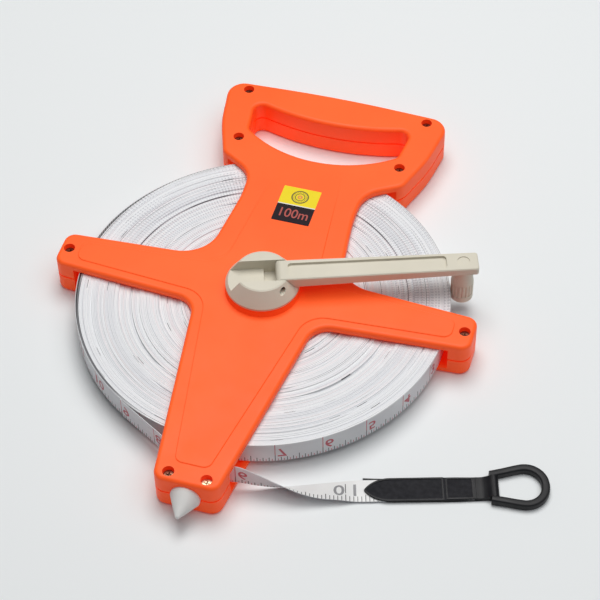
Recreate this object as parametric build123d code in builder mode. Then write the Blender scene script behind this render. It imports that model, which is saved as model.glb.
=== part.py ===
from build123d import *
import os
from math import acos, asin, atan2, cos, degrees, hypot, radians, sin, sqrt

# An open-reel tape measure, in millimetres. The reel turns about Z through the
# origin, the frame lies on the plane z = 0 and the handle points along +Y.

os.makedirs("parts", exist_ok=True)

# ---- tape and reel ----
tape_width = 13.0
tape_thickness = 0.3
roll_radius = 100.0
# unevenly wound turns: how far each equal part of the winding, from the core out, stands too low
roll_terraces = [0.8, 0.2, 1.1, 0.4, 1.2, 0.3, 0.0]
core_radius = 22.0
core_wall = 2.4
core_rib_count = 8
core_rib = 1.8
journal_radius = 12.0
drive_square = 12.0
anchor_width = 2.6
anchor_depth = 1.9
anchor_bevel = 0.3

# ---- frame ----
frame_height = 22.4
shell_plate = 2.6
shell_wall = 2.4
edge_radius = 2.2
panel_height = 0.5
panel_bevel = 0.35
panel_inset = 4.6
panel_end_inset = 11.2
groove_depth = 0.6
groove_height = 0.5
roll_side_gap = 0.7
roll_rim_gap = 4.6
arm_block_length = 10.6
arm_root_half = 16.2
arm_tip_half = 11.1
foot_length = 26.7
foot_tip_half = 16.8
foot_root_half = 33.4
neck_half = 32.4
handle_half = 66.8
handle_bar = 23.6
grip_height = 30.7
grip_half = 47.0
grip_low_half = 44.0
grip_low_rise = 15.5
grip_high_rise = 8.0
grip_corner = 5.0
mouth_length = 12.9
panel_fade_start = 45.0
panel_fade_end = 96.0
collar_step = 0.2
journal_wall = 2.5
collar_wall = 3.4

# ---- frame fasteners ----
screw_head_radius = 2.75
screw_head_height = 2.0
screw_shank_radius = 1.4
screw_sink = 3.0
boss_radius = 4.2
screw_tip_margin = 0.9
# cross recess, as shares of the head's radius and height
recess_length = 1.1
recess_width = 0.26
recess_depth = 0.55

# ---- ground spike and tape guide ----
spike_radius = 7.8
spike_length = 13.2
spike_stem_radius = 4.0
spike_flange_radius = 5.2
spike_flange = 2.0
spike_notch = 1.0
spike_rim = 1.6
spike_nose = 0.9
spike_nose_round = 0.6
spike_waist = 4.45
guide_radius = 4.5
guide_spigot_radius = 2.0
guide_setback = 5.4

# ---- crank ----
crank_angle = 19.3
hub_collar_height = 4.3
hub_collar_radius = 20.4
hub_collar_taper = 13.0
hub_radius = 19.8
hub_rim = 1.2
hub_height = 9.8
hub_top_radius = 14.0
arm_depth = 6.2
arm_tip_depth = 4.3
arm_width = 14.0
arm_tip_width = 12.1
fold_pin_offset = 10.1
fold_pin_radius = 1.6
fold_pin_bevel = 0.3
fold_pin_sink = 3.2
arm_corner = 1.6
channel_start = 13.5
channel_end = 97.5
channel_depth = 1.4
channel_rim = 2.1
well_depth = 2.6
knob_radius = 6.1
knob_neck_radius = 5.2
knob_length = 22.4
knob_rim = 3.8
knob_rib_count = 18
knob_groove = 0.72
knob_groove_set = 0.25
knob_flare = 12.3
knob_neck_swell = 0.24
knob_stub_radius = 3.0
knob_recess = 3.0
knob_screw_radius = 1.25
knob_screw_grip = 10.5
knob_screw_head_radius = 4.0
knob_screw_head_height = 1.8
arm_end_margin = 7.8

# ---- retaining parts below the reel ----
cap_radius = 15.0
cap_thickness = 1.6
cup_height = 3.7
cup_floor = 1.3
washer_radius = 4.4
washer_thickness = 0.8
hub_screw_head_radius = 3.6
hub_screw_head_height = 2.1
hub_screw_radius = 2.0
hub_screw_grip = 12.0

# ---- free end of the tape, lengths measured from the mouth ----
mouth_aside = 20.5
mouth_setback = 1.6
lead_heading = 17.0
# distance along, shift aside, height of the low edge, twist in degrees
lead_stations = [
    (0.0, 0.0, 4.7, 0.0),
    (10.0, -1.9, 2.6, 11.5),
    (20.0, -3.6, 0.5, 28.4),
    (30.0, -4.8, 0.3, 50.6),
    (40.0, -5.0, 0.5, 68.3),
    (50.0, -4.7, 0.8, 78.0),
    (60.0, -4.3, 1.2, 90.0),
]
tab_aside = -4.3
tab_layer = 0.95
tab_gap = 0.45
tab_layer_shift = 0.4
tab_width = 13.8
tab_tip = 63.1
tab_point = 13.0
tab_end = 118.0
tab_join_start = 119.0
tab_join_end = 123.0
strap_width = 13.0
loop_reach = 5.3
ring_length = 29.4
ring_half = 13.4
ring_neck_half = 8.2
ring_shoulder = 22.5
ring_rail = 4.0
ring_side = 3.2
ring_tip_half = 6.2
ring_eye_tip_half = 4.6
ring_tip_round = 10.0
ring_shoulder_round = 8.0
ring_thickness = 4.5
ring_edge = 0.4
ring_bar_radius = 1.35
ring_bar_setback = 1.9

# ---- label ----
label_width = 21.4
label_height = 26.8
label_thickness = 0.15
label_centre_y = 63.0

# ---- edges ----
edge_softening = 0.5

# ---- clearances ----
running_fit = 0.06
seat_fit = 0.02
loose_gap = 0.3

# ---- places that follow from the sizes ----
mid_z = frame_height / 2
shell_depth = frame_height / 2
reel_space_half = tape_width / 2 + roll_side_gap
reel_space_radius = roll_radius + roll_rim_gap
arm_end = reel_space_radius + arm_block_length
foot_end = -(reel_space_radius + foot_length)
grip_bottom = roll_radius
grip_top = grip_bottom + grip_height
handle_top = grip_top + handle_bar
roll_bottom = mid_z - tape_width / 2
roll_top = mid_z + tape_width / 2
panel_top = frame_height + panel_height

screw_places = [
    (-handle_half + 13.4, handle_top - 8.2),
    (handle_half - 13.4, handle_top - 8.2),
    (-handle_half + 19.4, grip_bottom + 7.0),
    (handle_half - 19.4, grip_bottom + 7.0),
    (-arm_end + 5.2, 0.0),
    (arm_end - 5.2, 0.0),
    (-foot_tip_half + 6.9, foot_end + 5.1),
    (foot_tip_half - 6.9, foot_end + 5.1),
]
guide_place = (0.0, -(reel_space_radius + guide_setback))
lead_start = (mouth_aside, guide_place[1] - mouth_setback)


def both_sides(right_side):
    """Closes a right-hand row of (x, y, corner radius) with its mirror image."""
    left_side = [(-x, y, r) for x, y, r in reversed(right_side) if x > 0]
    return right_side + left_side


def rounded_outline(corners):
    """Makes a sketch from a closed row of (x, y, corner radius)."""
    with BuildSketch() as outline:
        with BuildLine():
            FilletPolyline(*[(x, y) for x, y, r in corners], radius=[r for x, y, r in corners], close=True)
        make_face()
    return outline.sketch


# ---- outlines of the frame, seen from above ----
frame_outline = rounded_outline(
    both_sides(
        [
            (0.0, handle_top, 700.0),
            (handle_half, handle_top - 3.0, 10.0),
            (handle_half - 5.3, grip_bottom + 18.0, 80.0),
            (handle_half - 14.0, grip_bottom - 6.0, 8.0),
            (neck_half + 1.0, grip_bottom - 17.2, 16.0),
            (neck_half, grip_bottom - 36.0, 80.0),
            (neck_half + 5.2, arm_root_half - 0.2, 20.0),
            (arm_end, arm_tip_half, 6.0),
            (arm_end, -arm_tip_half, 6.0),
            (foot_root_half, -arm_root_half, 12.0),
            (foot_tip_half, foot_end, 6.0),
        ]
    )
)

with BuildSketch() as grip_opening:
    with BuildLine():
        low_end = grip_bottom + grip_low_rise
        high_end = grip_top + grip_high_rise
        ThreePointArc((-grip_low_half, low_end), (0, grip_bottom), (grip_low_half, low_end))
        ThreePointArc((-grip_half, high_end), (0, grip_top), (grip_half, high_end))
        Line((-grip_low_half, low_end), (-grip_half, high_end))
        Line((grip_low_half, low_end), (grip_half, high_end))
    make_face()
    fillet(grip_opening.vertices(), grip_corner)

panel_outline = rounded_outline(
    both_sides(
        [
            (17.9, grip_bottom - 5.0, 3.0),
            (26.2, arm_root_half - panel_inset, 14.0),
            (arm_end - panel_end_inset, arm_tip_half - panel_inset, 5.0),
            (arm_end - panel_end_inset, -arm_tip_half + panel_inset, 5.0),
            (28.4, -arm_root_half + panel_inset, 14.0),
            (9.0, foot_end + 11.5, 4.5),
        ]
    )
)

# ---- one half of the frame, outer face up ----
with BuildPart() as shell_blank:
    with BuildSketch(Plane.XY.offset(mid_z)):
        add(frame_outline)
        add(grip_opening.sketch, mode=Mode.SUBTRACT)
    extrude(amount=shell_depth)
    fillet(shell_blank.edges().group_by(Axis.Z)[-1], edge_radius)
    # parting groove round the outside and round the grip
    with BuildSketch(Plane.XY.offset(mid_z)):
        add(frame_outline)
        with BuildSketch(mode=Mode.SUBTRACT):
            add(frame_outline)
            offset(amount=-groove_depth)
        with BuildSketch():
            add(grip_opening.sketch)
            offset(amount=groove_depth)
    extrude(amount=groove_height, mode=Mode.SUBTRACT)
    # hollow inside, leaving walls, screw bosses and the wall round the reel space
    with BuildSketch(Plane.XY.offset(mid_z)):
        with BuildSketch():
            add(frame_outline)
            offset(amount=-shell_wall)
        with BuildSketch(mode=Mode.SUBTRACT):
            add(grip_opening.sketch)
            offset(amount=shell_wall)
        with BuildSketch(mode=Mode.SUBTRACT):
            Circle(reel_space_radius + shell_wall)
            Circle(reel_space_radius, mode=Mode.SUBTRACT)
        with Locations(*screw_places, guide_place):
            Circle(boss_radius, mode=Mode.SUBTRACT)
    extrude(amount=shell_depth - shell_plate, mode=Mode.SUBTRACT)
    # space for the reel, and the mouths that the tape runs through
    with BuildSketch(Plane.XY.offset(mid_z)):
        Circle(reel_space_radius)
        with Locations((0, -(reel_space_radius + mouth_length) / 2)):
            Rectangle(2 * foot_root_half, reel_space_radius + mouth_length)
    extrude(amount=reel_space_half, mode=Mode.SUBTRACT)
    # seat of the tape guide
    with Locations((*guide_place, mid_z + reel_space_half)):
        Cylinder(
            guide_spigot_radius + seat_fit,
            shell_depth - reel_space_half - shell_plate,
            align=(Align.CENTER, Align.CENTER, Align.MIN),
            mode=Mode.SUBTRACT,
        )
    # half of the spike's seat in the end wall
    with Locations(Location((0, foot_end - spike_notch, mid_z), (-90, 0, 0))):
        Cylinder(
            spike_radius + loose_gap,
            2 * spike_notch,
            align=(Align.CENTER, Align.CENTER, Align.MIN),
            mode=Mode.SUBTRACT,
        )
        Cylinder(
            spike_stem_radius + seat_fit,
            2 * spike_notch + shell_wall,
            align=(Align.CENTER, Align.CENTER, Align.MIN),
            mode=Mode.SUBTRACT,
        )

# ---- heights of the reel's centre, from the underside up ----
cap_bottom = loose_gap
cap_top = cap_bottom + cap_thickness
collar_low_top = mid_z - reel_space_half + collar_step
collar_high_bottom = mid_z + reel_space_half - collar_step
plate_underside = frame_height - shell_plate
hub_collar_top = frame_height + hub_collar_height
hub_bottom = hub_collar_top + loose_gap
hub_top = hub_bottom + hub_height
journal_hole = journal_radius + running_fit

# ---- heights of the frame screws ----
screw_seat = frame_height - screw_sink - screw_head_height
screw_pilot_bottom = shell_plate + screw_tip_margin
screw_tip = screw_pilot_bottom + loose_gap

# ---- upper shell, with the collar that the crank hub turns on ----
with BuildPart() as upper_shell:
    add(shell_blank.part)
    # raised panel, fading out towards the handle
    with BuildSketch(Plane.XY.offset(frame_height)):
        add(panel_outline)
    extrude(amount=panel_height)
    chamfer(upper_shell.faces().sort_by(Axis.Z)[-1].edges(), panel_bevel)
    with BuildSketch(Plane.YZ):
        with BuildLine():
            Polyline(
                (panel_fade_start, panel_top),
                (panel_fade_end, frame_height),
                (handle_top, frame_height),
                (handle_top, panel_top + panel_height),
                (panel_fade_start, panel_top + panel_height),
                close=True,
            )
        make_face()
    extrude(amount=handle_half, both=True, mode=Mode.SUBTRACT)
    # hollow collar under the crank hub
    with BuildSketch(Plane.XY.offset(frame_height)):
        Circle(hub_collar_radius)
    extrude(amount=hub_collar_height, taper=hub_collar_taper)
    with BuildSketch(Plane.XY.offset(plate_underside)):
        Circle(hub_collar_radius - collar_wall)
        Circle(journal_hole + journal_wall, mode=Mode.SUBTRACT)
    extrude(amount=hub_collar_height + shell_plate - shell_wall, mode=Mode.SUBTRACT)
    # bearing for the reel's upper journal
    with BuildSketch(Plane.XY.offset(collar_high_bottom)):
        Circle(journal_hole + journal_wall)
    extrude(amount=plate_underside - collar_high_bottom)
    with BuildSketch(Plane.XY.offset(collar_high_bottom)):
        Circle(journal_hole)
    extrude(amount=hub_collar_top - collar_high_bottom, mode=Mode.SUBTRACT)
    # counterbored screw holes
    with Locations(*[(x, y, frame_height) for x, y in screw_places]):
        CounterBoreHole(
            screw_shank_radius + running_fit,
            screw_head_radius + loose_gap,
            screw_sink + screw_head_height,
            depth=shell_depth,
        )
upper_shell.part.label = "upper_shell"
export_step(upper_shell.part, "parts/upper_shell.step")

# ---- lower shell, recessed for the cap that holds the reel ----
with BuildPart() as lower_shell:
    add(mirror(shell_blank.part, about=Plane.XY.offset(mid_z), mode=Mode.PRIVATE))
    # bearing for the reel's lower journal
    with BuildSketch(Plane.XY.offset(shell_plate)):
        Circle(cap_radius + journal_wall)
    extrude(amount=collar_low_top - shell_plate)
    with BuildSketch(Plane.XY):
        Circle(journal_hole)
    extrude(amount=collar_low_top, mode=Mode.SUBTRACT)
    # recess for the cap
    with BuildSketch(Plane.XY):
        Circle(cap_radius + loose_gap)
    extrude(amount=cap_top + loose_gap, mode=Mode.SUBTRACT)
    # blind screw holes in the bosses
    with BuildSketch(Plane.XY.offset(screw_pilot_bottom)):
        with Locations(*screw_places):
            Circle(screw_shank_radius + seat_fit)
    extrude(amount=mid_z - screw_pilot_bottom, mode=Mode.SUBTRACT)
lower_shell.part.label = "lower_shell"
export_step(lower_shell.part, "parts/lower_shell.step")


def cross_slot(head_radius):
    """Makes the sketch of a cross-head recess."""
    with BuildSketch() as slot:
        Rectangle(head_radius * recess_length, head_radius * recess_width)
        Rectangle(head_radius * recess_width, head_radius * recess_length)
    return slot.sketch


# ---- self-tapping screws of the frame, one group ----
with BuildPart() as frame_screws:
    with BuildSketch(Plane.XY.offset(screw_tip)):
        with Locations(*screw_places):
            Circle(screw_shank_radius)
    extrude(amount=screw_seat - screw_tip)
    with BuildSketch(Plane.XY.offset(screw_seat)):
        with Locations(*screw_places):
            Circle(screw_head_radius)
    extrude(amount=screw_head_height)
    with BuildSketch(Plane.XY.offset(screw_seat + screw_head_height)):
        with Locations(*screw_places):
            add(cross_slot(screw_head_radius))
    extrude(amount=-screw_head_height * recess_depth, mode=Mode.SUBTRACT)
frame_screws.part.label = "frame_screws"
export_step(frame_screws.part, "parts/frame_screws.step")

# ---- ground spike, its flange caught inside the end wall of both shells ----
spike_base = foot_end + spike_notch - loose_gap
spike_tip = foot_end - spike_length
spike_axis = Axis((0, 0, mid_z), (0, 1, 0))
with BuildPart() as ground_spike:
    with BuildSketch(Plane.YZ):
        with BuildLine():
            Polyline(
                (spike_tip, mid_z + spike_nose),
                (spike_tip, mid_z),
                (spike_base, mid_z),
                (spike_base, mid_z + spike_radius),
                (spike_base - spike_rim, mid_z + spike_radius),
            )
            ThreePointArc(
                (spike_base - spike_rim, mid_z + spike_radius),
                ((spike_base - spike_rim + spike_tip) / 2, mid_z + spike_waist),
                (spike_tip, mid_z + spike_nose),
            )
        make_face()
    revolve(axis=spike_axis)
    fillet(ground_spike.edges().sort_by(Axis.Y)[0], spike_nose_round)
    with BuildSketch(Plane.XZ.offset(-spike_base)):
        with Locations((0, mid_z)):
            Circle(spike_stem_radius)
    extrude(amount=-(shell_wall + spike_flange))
    with BuildSketch(Plane.XZ.offset(-(foot_end + shell_wall + running_fit))):
        with Locations((0, mid_z)):
            Circle(spike_flange_radius)
    extrude(amount=-spike_flange)
ground_spike.part.label = "ground_spike"
export_step(ground_spike.part, "parts/ground_spike.step")

# ---- steel post that the tape bends round inside the foot ----
with BuildPart() as tape_guide:
    with BuildSketch(Plane.XY.offset(mid_z)):
        with Locations(guide_place):
            Circle(guide_radius)
    extrude(amount=reel_space_half, both=True)
    with BuildSketch(Plane.XY.offset(mid_z)):
        with Locations(guide_place):
            Circle(guide_spigot_radius)
    extrude(amount=shell_depth - shell_plate - running_fit, both=True)
tape_guide.part.label = "tape_guide"
export_step(tape_guide.part, "parts/tape_guide.step")

# ---- the crank's direction in the stored position ----
crank_direction = Vector(cos(radians(crank_angle)), sin(radians(crank_angle)), 0)
crank_across = Vector(sin(radians(crank_angle)), -cos(radians(crank_angle)), 0)


def crank_plane(height):
    """Makes a level plane at this height, with its X along the crank arm."""
    return Plane((0, 0, height), x_dir=crank_direction)


# ---- spool core: rim, web, ribs and two journals round a square bore ----
core_bore = core_radius - core_wall
with BuildPart() as spool_core:
    with BuildSketch(Plane.XY.offset(roll_bottom)):
        Circle(core_radius)
        Circle(core_bore, mode=Mode.SUBTRACT)
    extrude(amount=tape_width)
    with BuildSketch(Plane.XY.offset(mid_z)):
        Circle(core_radius - core_wall / 2)
    extrude(amount=core_wall / 2, both=True)
    with BuildSketch(Plane.XY.offset(mid_z)):
        with PolarLocations((core_bore + journal_radius) / 2, core_rib_count):
            Rectangle(core_bore - journal_radius + core_wall, core_rib)
    extrude(amount=tape_width / 2 - core_wall / 2, both=True)
    with BuildSketch(Plane.XY.offset(collar_low_top + loose_gap)):
        Circle(journal_hole + journal_wall)
    extrude(amount=collar_high_bottom - collar_low_top - 2 * loose_gap)
    with BuildSketch(Plane.XY.offset(cap_top)):
        Circle(journal_radius)
    extrude(amount=hub_bottom - cap_top)
    with BuildSketch(crank_plane(cap_top)):
        Rectangle(drive_square + 2 * seat_fit, drive_square + 2 * seat_fit)
    extrude(amount=hub_bottom - cap_top, mode=Mode.SUBTRACT)
    # slot in the rim for the wedge that holds the inner end of the tape
    with BuildSketch(Plane.XY.offset(roll_bottom)):
        with Locations((-core_radius, 0)):
            Rectangle(2 * anchor_depth, anchor_width)
    extrude(amount=tape_width, mode=Mode.SUBTRACT)
spool_core.part.label = "spool_core"
export_step(spool_core.part, "parts/spool_core.step")

# ---- wedge that holds the inner end of the tape ----
with BuildPart() as tape_anchor:
    with BuildSketch(Plane.XY.offset(roll_bottom)):
        with Locations((-core_radius + (anchor_depth + seat_fit) / 2 + running_fit / 2, 0)):
            Rectangle(anchor_depth - seat_fit - running_fit, anchor_width - 2 * seat_fit)
    extrude(amount=tape_width)
    chamfer(tape_anchor.edges().filter_by(Axis.Z), anchor_bevel)
tape_anchor.part.label = "tape_anchor"
export_step(tape_anchor.part, "parts/tape_anchor.step")

# ---- wound tape, its turns level below and uneven above ----
roll_start = core_radius + seat_fit
terrace_width = (roll_radius - roll_start) / len(roll_terraces)
terrace_corners = []
for number, drop in enumerate(roll_terraces):
    terrace_start = roll_start + number * terrace_width
    terrace_corners += [
        (terrace_start, roll_top - drop),
        (terrace_start + terrace_width, roll_top - drop),
    ]
with BuildPart() as tape_roll:
    with BuildSketch(Plane.XZ):
        with BuildLine():
            Polyline((roll_start, roll_bottom), *terrace_corners, (roll_radius, roll_bottom), close=True)
        make_face()
    revolve(axis=Axis.Z)
tape_roll.part.label = "tape_roll"
export_step(tape_roll.part, "parts/tape_roll.step")

# ---- heights and lengths along the crank ----
arm_bottom = hub_top - arm_depth
arm_tip_bottom = hub_top - arm_tip_depth
arm_root = fold_pin_offset - arm_depth / 2
slot_floor = arm_bottom - loose_gap
slot_half = arm_width / 2 + loose_gap
knob_offset = roll_radius + loose_gap + seat_fit + knob_radius
arm_tip = knob_offset + arm_end_margin
arm_taper_end = knob_offset - arm_end_margin
knob_top = arm_tip_bottom - loose_gap
knob_bottom = knob_top - knob_length
knob_screw_seat = knob_bottom + knob_recess
shaft_bottom = cap_top + cup_height
fold_pin_centre = crank_direction * fold_pin_offset + Vector(0, 0, hub_top - arm_depth / 2)
fold_pin_plane = Plane(fold_pin_centre, x_dir=crank_direction, z_dir=crank_across)
knob_centre = crank_direction * knob_offset

# ---- crank hub: a coned head with a slot across it, on a square shaft ----
hub_cone_slope = (hub_radius - hub_top_radius) / (hub_height - hub_rim)
cone_radius_at_pin = hub_top_radius + hub_cone_slope * arm_depth / 2
with BuildPart() as crank_hub:
    with BuildSketch(Plane.XZ):
        with BuildLine():
            Polyline(
                (0, hub_bottom),
                (hub_radius, hub_bottom),
                (hub_radius, hub_bottom + hub_rim),
                (hub_top_radius, hub_top),
                (0, hub_top),
                close=True,
            )
        make_face()
    revolve(axis=Axis.Z)
    chamfer(crank_hub.edges().group_by(Axis.Z)[-1], edge_softening)
    # slot across the head, and the well under the arm's root
    with BuildSketch(crank_plane(slot_floor)):
        Rectangle(2 * hub_radius, 2 * slot_half)
    extrude(amount=hub_height, mode=Mode.SUBTRACT)
    with BuildSketch(crank_plane(slot_floor)):
        with Locations((arm_root, 0)):
            Rectangle(2 * arm_depth, 2 * slot_half)
    extrude(amount=-well_depth, mode=Mode.SUBTRACT)
    # cross hole for the pin
    with BuildSketch(fold_pin_plane):
        Circle(fold_pin_radius + seat_fit)
    extrude(amount=hub_radius, both=True, mode=Mode.SUBTRACT)
    # square shaft with the hole for the screw from below
    with BuildSketch(crank_plane(shaft_bottom)):
        Rectangle(drive_square, drive_square)
    extrude(amount=hub_bottom - shaft_bottom)
    with BuildSketch(crank_plane(shaft_bottom)):
        Circle(hub_screw_radius + seat_fit)
    extrude(amount=hub_screw_grip + loose_gap, mode=Mode.SUBTRACT)
crank_hub.part.label = "crank_hub"
export_step(crank_hub.part, "parts/crank_hub.step")

# ---- pin that the crank folds on ----
with BuildPart() as crank_pin:
    with BuildSketch(fold_pin_plane):
        Circle(fold_pin_radius)
    extrude(amount=sqrt(cone_radius_at_pin**2 - fold_pin_offset**2) - fold_pin_sink, both=True)
    chamfer(crank_pin.edges().filter_by(GeomType.CIRCLE), fold_pin_bevel)
crank_pin.part.label = "crank_pin"
export_step(crank_pin.part, "parts/crank_pin.step")

# ---- cap, washer and screw that hold the reel in the frame from below ----
washer_top = shaft_bottom - cup_floor
hub_screw_seat = washer_top - washer_thickness
with BuildPart() as retaining_cap:
    with BuildSketch(Plane.XY.offset(cap_bottom)):
        Circle(cap_radius)
    extrude(amount=cap_thickness)
    chamfer(retaining_cap.edges().group_by(Axis.Z)[0], edge_softening)
    with BuildSketch(Plane.XY.offset(cap_top)):
        Circle(drive_square / 2 - running_fit)
    extrude(amount=shaft_bottom - cap_top)
    with BuildSketch(Plane.XY.offset(cap_bottom)):
        Circle(washer_radius + running_fit)
    extrude(amount=washer_top - cap_bottom, mode=Mode.SUBTRACT)
    with BuildSketch(Plane.XY.offset(washer_top)):
        Circle(hub_screw_radius + running_fit)
    extrude(amount=cup_floor, mode=Mode.SUBTRACT)
retaining_cap.part.label = "retaining_cap"
export_step(retaining_cap.part, "parts/retaining_cap.step")

with BuildPart() as hub_washer:
    with BuildSketch(Plane.XY.offset(hub_screw_seat)):
        Circle(washer_radius)
        Circle(hub_screw_radius + running_fit, mode=Mode.SUBTRACT)
    extrude(amount=washer_thickness)
hub_washer.part.label = "hub_washer"
export_step(hub_washer.part, "parts/hub_washer.step")

with BuildPart() as hub_screw:
    with BuildSketch(Plane.XY.offset(hub_screw_seat)):
        Circle(hub_screw_head_radius)
    extrude(amount=-hub_screw_head_height)
    chamfer(hub_screw.edges().group_by(Axis.Z)[0], edge_softening)
    with BuildSketch(Plane.XY.offset(hub_screw_seat)):
        Circle(hub_screw_radius)
    extrude(amount=shaft_bottom + hub_screw_grip - hub_screw_seat)
    with BuildSketch(Plane.XY.offset(hub_screw_seat - hub_screw_head_height)):
        add(cross_slot(hub_screw_head_radius))
    extrude(amount=hub_screw_head_height * recess_depth, mode=Mode.SUBTRACT)
hub_screw.part.label = "hub_screw"
export_step(hub_screw.part, "parts/hub_screw.step")

# ---- crank arm, with the stub that the knob turns on ----
with BuildPart() as crank_arm:
    # plan outline, narrowing to the tip
    with BuildSketch(crank_plane(arm_bottom)):
        with BuildLine():
            Polyline(
                (arm_root, -arm_width / 2),
                (fold_pin_offset + arm_depth, -arm_width / 2),
                (arm_tip, -arm_tip_width / 2),
                (arm_tip, arm_tip_width / 2),
                (fold_pin_offset + arm_depth, arm_width / 2),
                (arm_root, arm_width / 2),
                close=True,
            )
        make_face()
    extrude(amount=arm_depth)
    fillet(crank_arm.edges().filter_by(Axis.Z).sort_by(Axis((0, 0, 0), crank_direction))[-2:], arm_corner)
    chamfer(crank_arm.edges().group_by(Axis.Z)[-1], edge_softening)
    # side profile, round about the pin
    with BuildSketch(Plane((0, 0, 0), x_dir=crank_direction, z_dir=crank_across)):
        with BuildLine():
            Polyline(
                (fold_pin_offset, hub_top),
                (arm_tip, hub_top),
                (arm_tip, arm_tip_bottom),
                (arm_taper_end, arm_tip_bottom),
                (fold_pin_offset + arm_depth, arm_bottom),
                (fold_pin_offset, arm_bottom),
            )
            ThreePointArc(
                (fold_pin_offset, arm_bottom),
                (arm_root, fold_pin_centre.Z),
                (fold_pin_offset, hub_top),
            )
        make_face()
    extrude(amount=arm_width, both=True, mode=Mode.INTERSECT)
    # channel along the top
    with BuildSketch(crank_plane(hub_top)):
        with Locations(((channel_start + channel_end) / 2, 0)):
            RectangleRounded(
                channel_end - channel_start,
                (arm_width + arm_tip_width) / 2 - 2 * channel_rim,
                channel_rim,
            )
    extrude(amount=-channel_depth, mode=Mode.SUBTRACT)
    # round recess over the knob
    with BuildSketch(crank_plane(hub_top)):
        with Locations((knob_offset, 0)):
            Circle(knob_stub_radius + loose_gap)
    extrude(amount=-edge_softening, mode=Mode.SUBTRACT)
    with BuildSketch(fold_pin_plane):
        Circle(fold_pin_radius + running_fit)
    extrude(amount=arm_width, both=True, mode=Mode.SUBTRACT)
    with BuildSketch(Plane(knob_centre + Vector(0, 0, knob_screw_seat))):
        Circle(knob_stub_radius)
    extrude(amount=arm_tip_bottom - knob_screw_seat)
    with BuildSketch(Plane(knob_centre + Vector(0, 0, knob_screw_seat))):
        Circle(knob_screw_radius + seat_fit)
    extrude(amount=knob_screw_grip + loose_gap, mode=Mode.SUBTRACT)
crank_arm.part.label = "crank_arm"
export_step(crank_arm.part, "parts/crank_arm.step")

# ---- knob ----
knob_bore = knob_stub_radius + running_fit
knob_recess_radius = knob_screw_head_radius + loose_gap
knob_flare_z = knob_bottom + knob_flare
with BuildPart() as knob:
    with BuildSketch(Plane(knob_centre, x_dir=crank_direction, z_dir=crank_across)):
        with BuildLine():
            Polyline(
                (knob_radius, knob_flare_z),
                (knob_radius, knob_bottom + edge_softening),
                (knob_radius - edge_softening, knob_bottom),
                (knob_recess_radius, knob_bottom),
                (knob_recess_radius, knob_screw_seat + loose_gap),
                (knob_bore, knob_screw_seat + loose_gap),
                (knob_bore, knob_top),
                (knob_neck_radius, knob_top),
            )
            ThreePointArc(
                (knob_neck_radius, knob_top),
                (knob_neck_radius + knob_neck_swell, (knob_top + knob_flare_z) / 2),
                (knob_radius, knob_flare_z),
            )
        make_face()
    revolve(axis=Axis(knob_centre, (0, 0, 1)))
    # grooves between the grip ribs
    with BuildSketch(Plane(knob_centre + Vector(0, 0, knob_bottom + knob_rim))):
        with PolarLocations(knob_radius + knob_groove_set, knob_rib_count):
            Circle(knob_groove)
    extrude(amount=knob_flare_z - knob_bottom - knob_rim, mode=Mode.SUBTRACT)
knob.part.label = "knob"
export_step(knob.part, "parts/knob.step")

# ---- screw that keeps the knob on the stub ----
with BuildPart() as knob_screw:
    with BuildSketch(Plane(knob_centre + Vector(0, 0, knob_screw_seat))):
        Circle(knob_screw_head_radius)
    extrude(amount=-knob_screw_head_height)
    chamfer(knob_screw.edges().group_by(Axis.Z)[0], edge_softening)
    with BuildSketch(Plane(knob_centre + Vector(0, 0, knob_screw_seat))):
        Circle(knob_screw_radius)
    extrude(amount=knob_screw_grip)
    with BuildSketch(Plane(knob_centre + Vector(0, 0, knob_screw_seat - knob_screw_head_height))):
        add(cross_slot(knob_screw_head_radius))
    extrude(amount=knob_screw_head_height * recess_depth, mode=Mode.SUBTRACT)
knob_screw.part.label = "knob_screw"
export_step(knob_screw.part, "parts/knob_screw.step")

# ---- tape between the roll, the guide post and the mouth ----
half_tape = tape_thickness / 2
leave_radius = roll_radius + loose_gap + half_tape
bend_radius = guide_radius + running_fit + half_tape
guide_reach = -guide_place[1]
leave_angle = degrees(acos((leave_radius - bend_radius) / guide_reach))
mouth_x = lead_start[0]
mouth_y = lead_start[1]
to_mouth = hypot(mouth_x, mouth_y + guide_reach)
exit_angle = degrees(
    asin(bend_radius / to_mouth) + atan2(mouth_y + guide_reach, mouth_x)
)


def beside(centre, radius, heading):
    """Finds the point of a circle that a tape with this heading touches, the circle on its left."""
    return (centre[0] + radius * sin(radians(heading)), centre[1] - radius * cos(radians(heading)))


with BuildPart() as tape_run:
    with BuildSketch(Plane.XY.offset(roll_bottom)):
        with BuildLine() as run_path:
            Line(beside((0, 0), leave_radius, -leave_angle), beside(guide_place, bend_radius, -leave_angle))
            ThreePointArc(
                beside(guide_place, bend_radius, -leave_angle),
                beside(guide_place, bend_radius, (exit_angle - leave_angle) / 2),
                beside(guide_place, bend_radius, exit_angle),
            )
            Line(beside(guide_place, bend_radius, exit_angle), lead_start)
        trace(run_path.line, tape_thickness)
    extrude(amount=tape_width)
tape_run.part.label = "tape_run"
export_step(tape_run.part, "parts/tape_run.step")

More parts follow.
